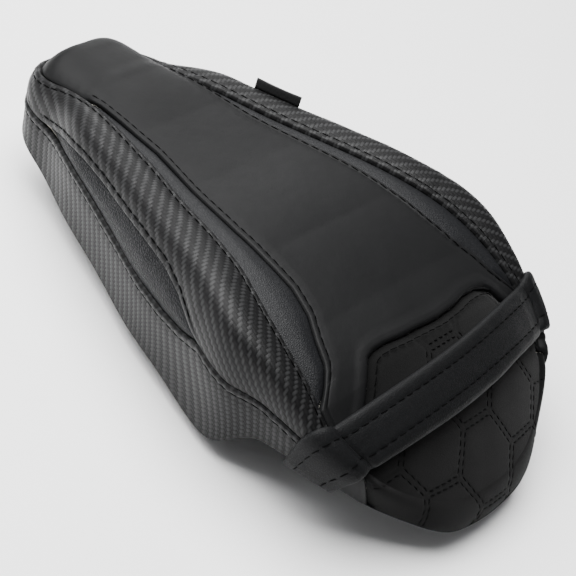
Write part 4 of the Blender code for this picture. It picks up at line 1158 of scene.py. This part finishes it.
def build_nose(threads):
    shell = Shell()
    spots, charts, ways = [], [], []
    w_end = side_w(leg_edge(1.0))
    rear = np.concatenate([[0.0, 0.0004, 0.001, 0.002, 0.0035], np.linspace(0.006, 1.0, 46)])
    across = np.linspace(1.0, -1.0, 170)
    past_right = [r for r in NOSE_EDGE if r[0] > CORNER_RIGHT and r[1] > CORNER_W]
    past_left = [r for r in NOSE_EDGE[::-1] if r[0] < CORNER_LEFT and r[1] > CORNER_W]
    right = np.array([(CORNER_RIGHT, CORNER_W)] + past_right + [(1.0, w_end)])
    left = np.array([(CORNER_LEFT, CORNER_W)] + past_left + [(-1.0, w_end)])
    back_w = CORNER_W + (w_end - CORNER_W) * rear
    right_u = np.interp(back_w, right[:, 1], right[:, 0])
    left_u = np.interp(back_w, left[:, 1], left[:, 0])
    u = left_u[:, None] + (right_u - left_u)[:, None] * (across[None, :] + 1.0) / 2.0
    w = back_w[:, None] + (graph(REAR_EDGE, u[0]) - CORNER_W)[None, :] * (1.0 - ramp(rear / 0.5))[:, None]
    front_w = np.linspace(w_end, 1.0, 72)[1:]
    u = np.vstack([u, np.tile(across[None, :], (len(front_w), 1))])
    w = np.vstack([w, np.tile(front_w[:, None], (1, len(across)))])

    def lay(points, normals, chart, t_edge):
        final = points + normals * quilt_height(chart, t_edge, points)[..., None]
        shell.grid(final, normals)
        spots.append(final.reshape(-1, 3))
        charts.append(chart.reshape(-1, 2))
        ways.append(normals.reshape(-1, 3))

    points = top(u, w)
    chart = np.stack([points[..., 0], slope_length(w)], -1)
    seams = np.vstack([leg_lines[1.0], leg_lines[-1.0]])
    lay(points, top_normal(u, w), chart, path_distance(points, seams))

    right_v = side_v(np.concatenate([[w_end], front_w]))
    front_v = V_END - (V_END - V_NOSE) * across[1:-1]
    v = np.concatenate([right_v, front_v, 2.0 * V_END - right_v[::-1]])
    s = np.linspace(1.0, 0.0, 34)
    along = np.tile(v[:, None], (1, len(s)))
    lean = (np.minimum(v, 2.0 * V_END - v) - right_v[0]) / 30.0
    pull = (leg_edge(s)[None, :] - right_v[0]) * np.exp(-np.maximum(lean, 0.0) * 1.2)[:, None]
    along = along + np.where(v < V_END, 1.0, -1.0)[:, None] * pull
    around = wrap(along)
    points = wall(around, np.tile(s, (len(v), 1)))
    normals = wall_normal_blend(around, np.tile(s, (len(v), 1)))
    along_w = edge_place(around)[1]
    rim = shoulder(around)
    depth = run_length(points, 1)
    out = outward(around)
    chart = np.stack([rim[..., 0] + out[..., 0] * depth, slope_length(along_w) + out[..., 1] * depth], -1)
    lay(points, normals, chart, path_distance(points, seams))
    stitch_quilt(threads, np.vstack(spots), np.vstack(charts), np.vstack(ways), seams)
    finish_panel(shell, "nose_grip_panel", SUEDE)


def stitch_quilt(threads, spots, charts, ways, seams):
    """Two rows of stitches along every side of the quilting hexagons that lies on the panel."""
    tree = KDTree(len(charts))
    for k, (x, y) in enumerate(charts):
        tree.insert((x, y, 0.0), k)
    tree.balance()
    inner = CELL - PAIR * 2.0 / math.sqrt(3.0)
    for column in range(-4, 5):
        for row in range(-4, 5):
            cx = column * 1.5 * CELL
            cy = HEX_Y + APOTHEM + (row + 0.5 * (column % 2)) * 2.0 * APOTHEM
            corners = [np.array([cx + inner * math.cos(a), cy + inner * math.sin(a)])
                       for a in (math.pi / 3.0 * k for k in range(6))]
            for a, b in zip(corners, corners[1:] + corners[:1]):
                share = np.linspace(0.0, 1.0, 40)[:, None]
                run = a + (b - a) * share
                path, facing = [], []
                for x, y in run:
                    found = tree.find_n((x, y, 0.0), 4)
                    if found[0][2] > 1.6:
                        put_row(threads, path, facing, seams)
                        path, facing = [], []
                        continue
                    weight = np.array([1.0 / (hit[2] + 0.05) ** 2 for hit in found])
                    near = [hit[1] for hit in found]
                    path.append((spots[near] * weight[:, None]).sum(0) / weight.sum())
                    facing.append((ways[near] * weight[:, None]).sum(0) / weight.sum())
                put_row(threads, path, facing, seams)


def put_row(threads, path, facing, seams):
    """One row of quilting stitches, unless it runs into a seam."""
    if len(path) < SHORT_ROW:
        return
    path = np.array(path)
    keep = path_distance(path[None], seams)[0] > 3.0
    if keep.all():
        threads.row(path, unit(np.array(facing)), pitch=QUILT_PITCH, cover=0.72, lift=0.22)


# ---------------------------------------------------------------- hem, staples, label
def pan_edge(v):
    return hem(v) - outward(wrap(v)) * PAN_INSET + UP * PAN_LIFT


def pan_under(u, w):
    """Underside of the pan: a flat margin at the edge, then a slope up to the floor."""
    u, w = np.broadcast_arrays(np.asarray(u, float), np.asarray(w, float))
    points = coons(pan_edge, u, w)
    half = coons(pan_edge, np.ones_like(u), w)[..., 0]
    length = HEM[-1][1]
    to_side = (1.0 - np.abs(u)) * half
    to_end = np.minimum(w, 1.0 - w) * length
    lift = ramp((to_side - FLANGE) / FLANK) * ramp((to_end - FLANGE) / FLANK)
    points[..., 2] += (graph(FLOOR, points[..., 1]) - points[..., 2]) * lift
    return points


def under_rows(v, depths):
    """Points on the pan's flat margin at the given distances in from its edge."""
    u, w = edge_place(v)
    half = np.maximum(coons(pan_edge, np.ones_like(u), w)[..., 0], 30.0)
    rows = []
    for depth in depths:
        rows.append(pan_under(u * (1.0 - depth / half), 0.5 + (w - 0.5) * (1.0 - 2.0 * depth / HEM[-1][1])))
    return np.stack(rows, axis=1)


HEM_DEPTH = 10.5
STAPLE_DEPTH = 7.0
STAPLE_GAP = 13.0


def build_cover_hem():
    """Turned-under edge of the cover: rolls round the pan's edge, lies pleated on its margin."""
    v = np.linspace(0.0, 2.0 * V_END, 640)
    fringe = 1.0 + 0.10 * np.sin(v * 0.31) + 0.07 * np.sin(v * 0.83 + 1.0)
    depths = [0.6, 2.0, 3.5, 5.0, 6.5, 8.0, 9.4, HEM_DEPTH]
    margin = under_rows(wrap(v), depths)
    out = outward(wrap(v))
    edge = hem(v)
    tucks = 0.30 * np.sin(v * 2.0 * math.pi / 9.0) * np.sin(v * 0.11 + 0.7)
    rolled = [(0.1, 0.0), (0.0, 0.5), (-0.7, 0.8), (-1.6, 0.6)]      # (outwards, downwards)
    rows = [edge + out * aside - UP * down for aside, down in rolled]
    for k, depth in enumerate(depths):
        reach = (fringe - 1.0)[:, None] * (margin[:, k] - margin[:, 0])
        rows.append(margin[:, k] + reach - UP * (1.3 + tucks * step(np.array(depth), 0.0, 6.0))[:, None])
    rows.append(rows[-1] + UP)
    points = np.stack(rows, axis=1)
    points[-1] = points[0]
    shell = Shell()
    facing = np.concatenate([np.tile((out - UP)[:, None, :], (1, len(rolled), 1)),
                             np.tile(-UP, (len(v), len(rows) - len(rolled), 1))], axis=1)
    shell.grid(points, unit(facing))
    hem_piece = shell.build("cover_turned_hem", HEM_LOOK, 0.0)
    on_seat(hem_piece, "cover_hem")


def build_staples():
    """Wire staples that hold the hem to the pan."""
    places = np.arange(4.0, 2.0 * V_END, STAPLE_GAP)
    points = []
    faces = []
    for number, v in enumerate(places):
        across = under_rows(wrap(np.array([v - 4.5, v, v + 4.5])), [STAPLE_DEPTH])[:, 0]
        tilt = 0.25 * math.sin(number * 2.3)
        inward = unit(np.cross(across[2] - across[0], UP)) * tilt * 4.0
        low = across[1] - UP * 2.0
        way = unit(across[2] - across[0] + inward)
        path = [low - way * 4.4 + UP * 1.8, low - way * 4.4 + UP * 0.3, low - way * 4.0 - UP * 0.1,
                low + way * 4.0 - UP * 0.1, low + way * 4.4 + UP * 0.3, low + way * 4.4 + UP * 1.8]
        aside = unit(np.cross(way, UP))
        ahead = unit(np.gradient(np.array(path), axis=0))
        base = len(points)
        for p, t in zip(path, ahead):
            third = np.cross(t, aside)
            for k in range(TUBE_SIDES):
                a = 2.0 * math.pi * k / TUBE_SIDES
                points.append(p + (aside * math.cos(a) * 0.55 + third * math.sin(a) * 0.32))
        faces += tube_faces(base, len(path))
    on_seat(new_object("hem_staples", points, faces, STEEL))


LABEL_START = 120.0
LABEL_END = 150.0
LABEL_S = 0.74
LABEL_LONG = 8.0


def build_tag():
    """Blank folded tape sewn into the left side."""
    v = -np.linspace(LABEL_START, LABEL_END, 31)
    base = wall(v, np.full_like(v, LABEL_S))
    face = wall_normal(v, np.full_like(v, LABEL_S))
    along = unit(np.gradient(base, axis=0))
    rise = unit(np.cross(face, along)) * -1.0
    lean = unit(rise + face * 0.8)
    through = unit(np.cross(along, lean))
    outline = [(0.0, -0.45), (3.0, -0.48), (5.0, -0.5), (6.8, -0.55), (7.8, -0.35), (LABEL_LONG, 0.0),
               (7.8, 0.35), (6.8, 0.55), (5.0, 0.5), (3.0, 0.48), (0.0, 0.45)]
    rows = []
    for far, thick in outline:
        curl = 0.10 * far * np.sin(np.linspace(0.0, math.pi, len(v)))
        rows.append(base + face * 1.1 + lean * far + through * (thick + curl[:, None] * 0.5))
    points = np.stack(rows, axis=1)
    shell = Shell()
    centre = points.mean(axis=1, keepdims=True)
    shell.grid(np.concatenate([points, points[:, :1]], axis=1),
               unit(np.concatenate([points - centre, (points - centre)[:, :1]], axis=1)))
    on_seat(shell.build("blank_loop_tag", LABEL_LOOK, 0.0), "loop_label")


# ---------------------------------------------------------------- grab strap
def strap_w(u):
    """Centre line of the strap across the seat: bowed forward, slightly skewed."""
    return 0.7985 - 0.018 * u * u + 0.017 * u


GRIP_REACH = 0.80        # half width of the seat that the lifting span covers
STRAP_PITCH = 7.0        # stitch length with its gap
HALF_STRAP = STRAP_WIDTH / 2.0
UNDER_THICK = 3.2
UNDER_BOLT_HALF = 9.0    # half length of the flat end under the pan
STRAP_BOLT = (70.0, 293.0, 37.7)
STRAP_SLANT = 12.0       # how far towards the tail the strap's ends run on the side wall
# Half outline of the padded strap: (share of its half width, share of its thickness).
STITCH_POINT = (0.50, 0.935)
HALF_OUTLINE = [(0.0, 1.00), (0.15, 1.00), (0.30, 0.995), (0.40, 0.98), (0.455, 0.955), STITCH_POINT,
                (0.545, 0.95), (0.62, 0.965), (0.76, 0.955), (0.87, 0.90), (0.94, 0.79), (0.985, 0.62),
                (1.0, 0.42), (0.985, 0.22), (0.94, 0.07), (0.86, 0.0), (0.43, 0.0)]
OUTLINE = np.array(HALF_OUTLINE + [(0.0, 0.0)] + [(-a, b) for a, b in HALF_OUTLINE[:0:-1]])
OUTLINE = OUTLINE * np.array([HALF_STRAP, 1.0])
STITCH_AT = [HALF_OUTLINE.index(STITCH_POINT), len(OUTLINE) - HALF_OUTLINE.index(STITCH_POINT)]


def strap_on_top(u):
    w = strap_w(u)[:, None] + OUTLINE[None, :, 0] / PANEL_SPAN
    uu = np.tile(u[:, None], (1, len(OUTLINE)))
    return top(uu, w), top_normal(uu, w)


def strap_body(rows, normals, thick, clear):
    share = OUTLINE[None, :, 1]
    return rows + normals * (clear[:, None] + thick[:, None] * share)[..., None]


def strap_shell(body):
    shell = Shell()
    closed = np.concatenate([body, body[:, :1]], axis=1)
    centre = body.mean(axis=1, keepdims=True)
    shell.grid(closed, unit(closed - centre))
    ends = []
    for row in (body[0], body[-1]):
        middle = row.mean(axis=0)
        ends.append(row + (middle - row) * 0.999)
    for row, end in zip((closed[0], closed[-1]), ends):
        end = np.concatenate([end, end[:1]])
        outward_way = row.mean(axis=0) - body.mean(axis=(0, 1))
        shell.grid(np.stack([row, end]), np.tile(unit(outward_way), (2, len(row), 1)))
    return shell


def strap_wave(points):
    return softness(points, 34.0, 14.0, 11.0, 0.18, 0.08)


def finish_strap(piece, threads, name):
    piece.data.set_sharp_from_angle(angle=math.radians(50.0))
    sewn = threads.build(name + "_stitches", THREAD)
    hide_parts(name)
    return sewn


def build_grip():
    u = np.linspace(-GRIP_REACH, GRIP_REACH, 130)
    rows, normals = strap_on_top(u)
    body = strap_body(rows, normals, np.full(len(u), STRAP_THICK), np.full(len(u), STRAP_CLEAR))
    body = body + normals * (strap_wave(body) * OUTLINE[None, :, 1])[..., None]
    piece = strap_shell(body).build("strap_grip_padded", STRAP_LOOK, 0.0)
    threads = Thread()
    for column in STITCH_AT:
        threads.row(body[:, column], normals[:, column], pitch=STRAP_PITCH, cover=0.72)
    sewn = finish_strap(piece, threads, "strap_grip")
    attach(piece, "strap_grip")
    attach(sewn, "strap_grip")


def build_leg(label, side):
    u = side * np.concatenate([np.linspace(GRIP_REACH, 0.97, 14), [1.0]])
    rows, normals = strap_on_top(u)
    middle = side * side_v(strap_w(side * 1.0))
    v = middle + side * OUTLINE[:, 0]
    s = np.array([0.94, 0.86, 0.76, 0.65, 0.53, 0.41, 0.29, 0.17, 0.06])
    wall_v = v[None, :] - side * STRAP_SLANT * (1.0 - s[:, None])
    wall_s = np.tile(s[:, None], (1, len(v)))
    middle = middle - side * STRAP_SLANT
    v = v - side * STRAP_SLANT
    edge = hem(v)
    out = outward(v)
    inward = hem(middle + (v - middle) * 0.8) - out * 13.0 - UP * 1.7
    bolt = np.array([side * STRAP_BOLT[0], STRAP_BOLT[1], STRAP_BOLT[2]])
    spread = np.array([0.0, 1.0, 0.0]) * (OUTLINE[:, 0] * 0.66)[:, None]
    reach = np.array([side * UNDER_BOLT_HALF, 0.0, 0.0])
    keys = np.array([edge + out * 0.5 - UP * 0.9, edge - out * 1.6 - UP * 1.8, inward,
                     bolt + reach + spread, bolt + spread, bolt - reach + spread])
    down = np.zeros_like(out) - UP
    facing = np.array([unit(out - UP)] + [down] * 5)
    fine = np.concatenate([np.linspace(0.0, 1.0, 4), np.linspace(1.0, 3.0, 14)[1:],
                           np.linspace(3.0, 5.0, 6)[1:]])
    cell = np.clip(fine.astype(int), 0, len(keys) - 2)
    part = (fine - cell)[:, None, None]
    under = keys[cell] * (1.0 - part) + keys[cell + 1] * part
    under_facing = unit(facing[cell] * (1.0 - part) + facing[cell + 1] * part)
    points = np.concatenate([rows, wall(wall_v, wall_s), under])
    normals = np.concatenate([normals, wall_normal_blend(wall_v, wall_s), under_facing])
    count = (len(rows), len(s), len(under))
    thick = np.concatenate([np.interp(np.abs(u), [GRIP_REACH, 1.0], [STRAP_THICK, 4.6]),
                            np.linspace(4.5, 4.0, count[1]),
                            np.concatenate([[3.8, 3.6, 3.4, 3.3], np.full(count[2] - 4, UNDER_THICK)])])
    clear = np.concatenate([np.full(count[0] + count[1], STRAP_CLEAR), np.zeros(count[2])])
    body = strap_body(points, normals, thick, clear)
    fade = np.concatenate([np.ones(count[0] + count[1]), np.zeros(count[2])])[:, None]
    body = body + normals * (strap_wave(body) * OUTLINE[None, :, 1] * fade)[..., None]
    name = "strap_leg_" + label
    piece = strap_shell(body).build(name + "_padded", STRAP_LOOK, 0.0)
    threads = Thread()
    last = count[0] + count[1] + 6
    for column in STITCH_AT:
        threads.row(body[:last, column], normals[:last, column], pitch=STRAP_PITCH, cover=0.72)
    sewn = finish_strap(piece, threads, name)
    low = wall(side * side_v(strap_w(side * 1.0)), 0.25)
    for part in (piece, sewn):
        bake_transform(part)


# ---------------------------------------------------------------- build
def build_cover():
    quilt = Thread(0.26)
    for side, label in ((1.0, "right"), (-1.0, "left")):
        threads = Thread()
        build_cover_wedge("wedge_" + label, side)
        build_cover_band("carbon_band_" + label, side, threads)
        build_cover_insert("grain_insert_" + label, side, threads)
        build_cover_skirt("carbon_skirt_" + label, side, threads)
        on_seat(threads.build("topstitch_" + label, THREAD))
    threads = Thread(0.27)
    build_centre(threads)
    on_seat(threads.build("topstitch_centre", THREAD))
    build_nose(quilt)
    on_seat(quilt.build("quilt_stitches", SUEDE_THREAD))
    build_cover_hem()
    build_staples()
    build_tag()


CAD_LOOKS = [("seat_pan", PAN), ("foam_cushion", FOAM), ("foot_", RUBBER), ("striker_", STEEL),
             ("tongue_", STEEL), ("front_tongue", STEEL), ("strap_bolt", STEEL), ("strap_plate", STEEL)]


def dress_cad_nodes():
    """Materials for the CAD pieces that stay visible."""
    for name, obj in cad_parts.items():
        for start, look in CAD_LOOKS:
            if name.startswith(start):
                for slot in obj.material_slots:
                    slot.material = look


build_cover()
build_grip()
build_leg("right", 1.0)
build_leg("left", -1.0)
dress_cad_nodes()


# ---------------------------------------------------------------- floor, light, camera
FLOOR_HALF = 6.0         # metres
FLOOR_DROP = 0.0002      # keeps the floor clear of the feet


def placed(right, up, back, place):
    """World matrix from three axes and a position."""
    return Matrix([[right[k], up[k], back[k], place[k]] for k in range(3)] + [[0, 0, 0, 1]])


def build_floor():
    mesh = bpy.data.meshes.new("studio_floor")
    corners = [(-1, -1), (1, -1), (1, 1), (-1, 1)]
    mesh.from_pydata([(x * FLOOR_HALF, y * FLOOR_HALF, 0.0) for x, y in corners], [], [(0, 1, 2, 3)])
    mat, tree, shader = new_look("floor_pale", (0.93, 0.93, 0.93), 0.9, Specular_IOR_Level=0.1)
    drift = noise(tree, object_place(tree), 3.0)
    tree.links.new(blend_colour(tree, drift, (0.925, 0.925, 0.925), (0.935, 0.935, 0.935)),
                   shader.inputs["Base Color"])
    mesh.materials.append(mat)
    floor = linked("studio_floor", mesh)
    floor.location.z = -FLOOR_DROP


def area_light(name, place, aim, size, power):
    """Rectangular white lamp at a place, turned to face its aim."""
    light = bpy.data.lights.new(name, "AREA")
    light.shape = "RECTANGLE"
    light.size, light.size_y = size
    light.energy = power
    obj = linked(name, light)
    back = unit(np.array(place, float) - np.array(aim, float))
    right = unit(np.cross(UP + 1e-6, back))
    up = np.cross(back, right)
    obj.matrix_world = placed(right, up, back, place)


CAMERA_TURN = math.radians(113.1)   # round the seat, above the floor and about its own axis
CAMERA_TILT = math.radians(35.6)
CAMERA_ROLL = math.radians(26.5)
CAMERA_AWAY = 1.170                 # metres
CAMERA_ASIDE = 0.0076
CAMERA_BELOW = 0.0206
CAMERA_LENS = 130.2
CAMERA_SENSOR = 36.0
CAMERA_AIM = np.array([0.0, 177.0, 55.0])


def build_camera():
    turn, tilt = CAMERA_TURN, CAMERA_TILT
    back = np.array([math.sin(turn) * math.cos(tilt), -math.cos(turn) * math.cos(tilt), math.sin(tilt)])
    level = np.array([math.cos(turn), math.sin(turn), 0.0])
    above = np.cross(back, level)
    right = math.cos(CAMERA_ROLL) * level + math.sin(CAMERA_ROLL) * above
    up = -math.sin(CAMERA_ROLL) * level + math.cos(CAMERA_ROLL) * above
    target = (CAMERA_AIM - ORIGIN) * MM
    place = target + back * CAMERA_AWAY + right * CAMERA_ASIDE - up * CAMERA_BELOW
    data = bpy.data.cameras.new("camera")
    data.lens = CAMERA_LENS
    data.sensor_width = CAMERA_SENSOR
    obj = linked("camera", data)
    obj.matrix_world = placed(right, up, back, place)
    bpy.context.scene.camera = obj


def build_world():
    """Pale surround, darker in front of the nose."""
    world = bpy.data.worlds.new("studio")
    bpy.context.scene.world = world
    world.use_nodes = True
    tree = world.node_tree
    background = tree.nodes["Background"]
    sky = tree.nodes.new("ShaderNodeTexCoord").outputs["Generated"]
    way = add(tree, "ShaderNodeSeparateXYZ", ("Vector", sky))
    share = spread_value(tree, way.outputs["Y"], -0.7, 0.7, 1.0, 0.0)
    colour = blend_colour(tree, share, (0.12, 0.12, 0.12), (0.50, 0.50, 0.51))
    tree.links.new(colour, background.inputs["Color"])
    background.inputs["Strength"].default_value = 1.0


build_floor()
area_light("soft_overhead", (0.25, -0.55, 1.50), (0.0, 0.0, 0.0), (1.8, 1.8), 125.0)
area_light("side_strip", (1.3, -0.9, 0.75), (0.0, 0.0, 0.05), (0.5, 1.1), 3.0)
area_light("far_strip", (-1.1, -1.0, 0.8), (0.0, 0.0, 0.05), (0.5, 1.2), 8.0)
build_world()
build_camera()
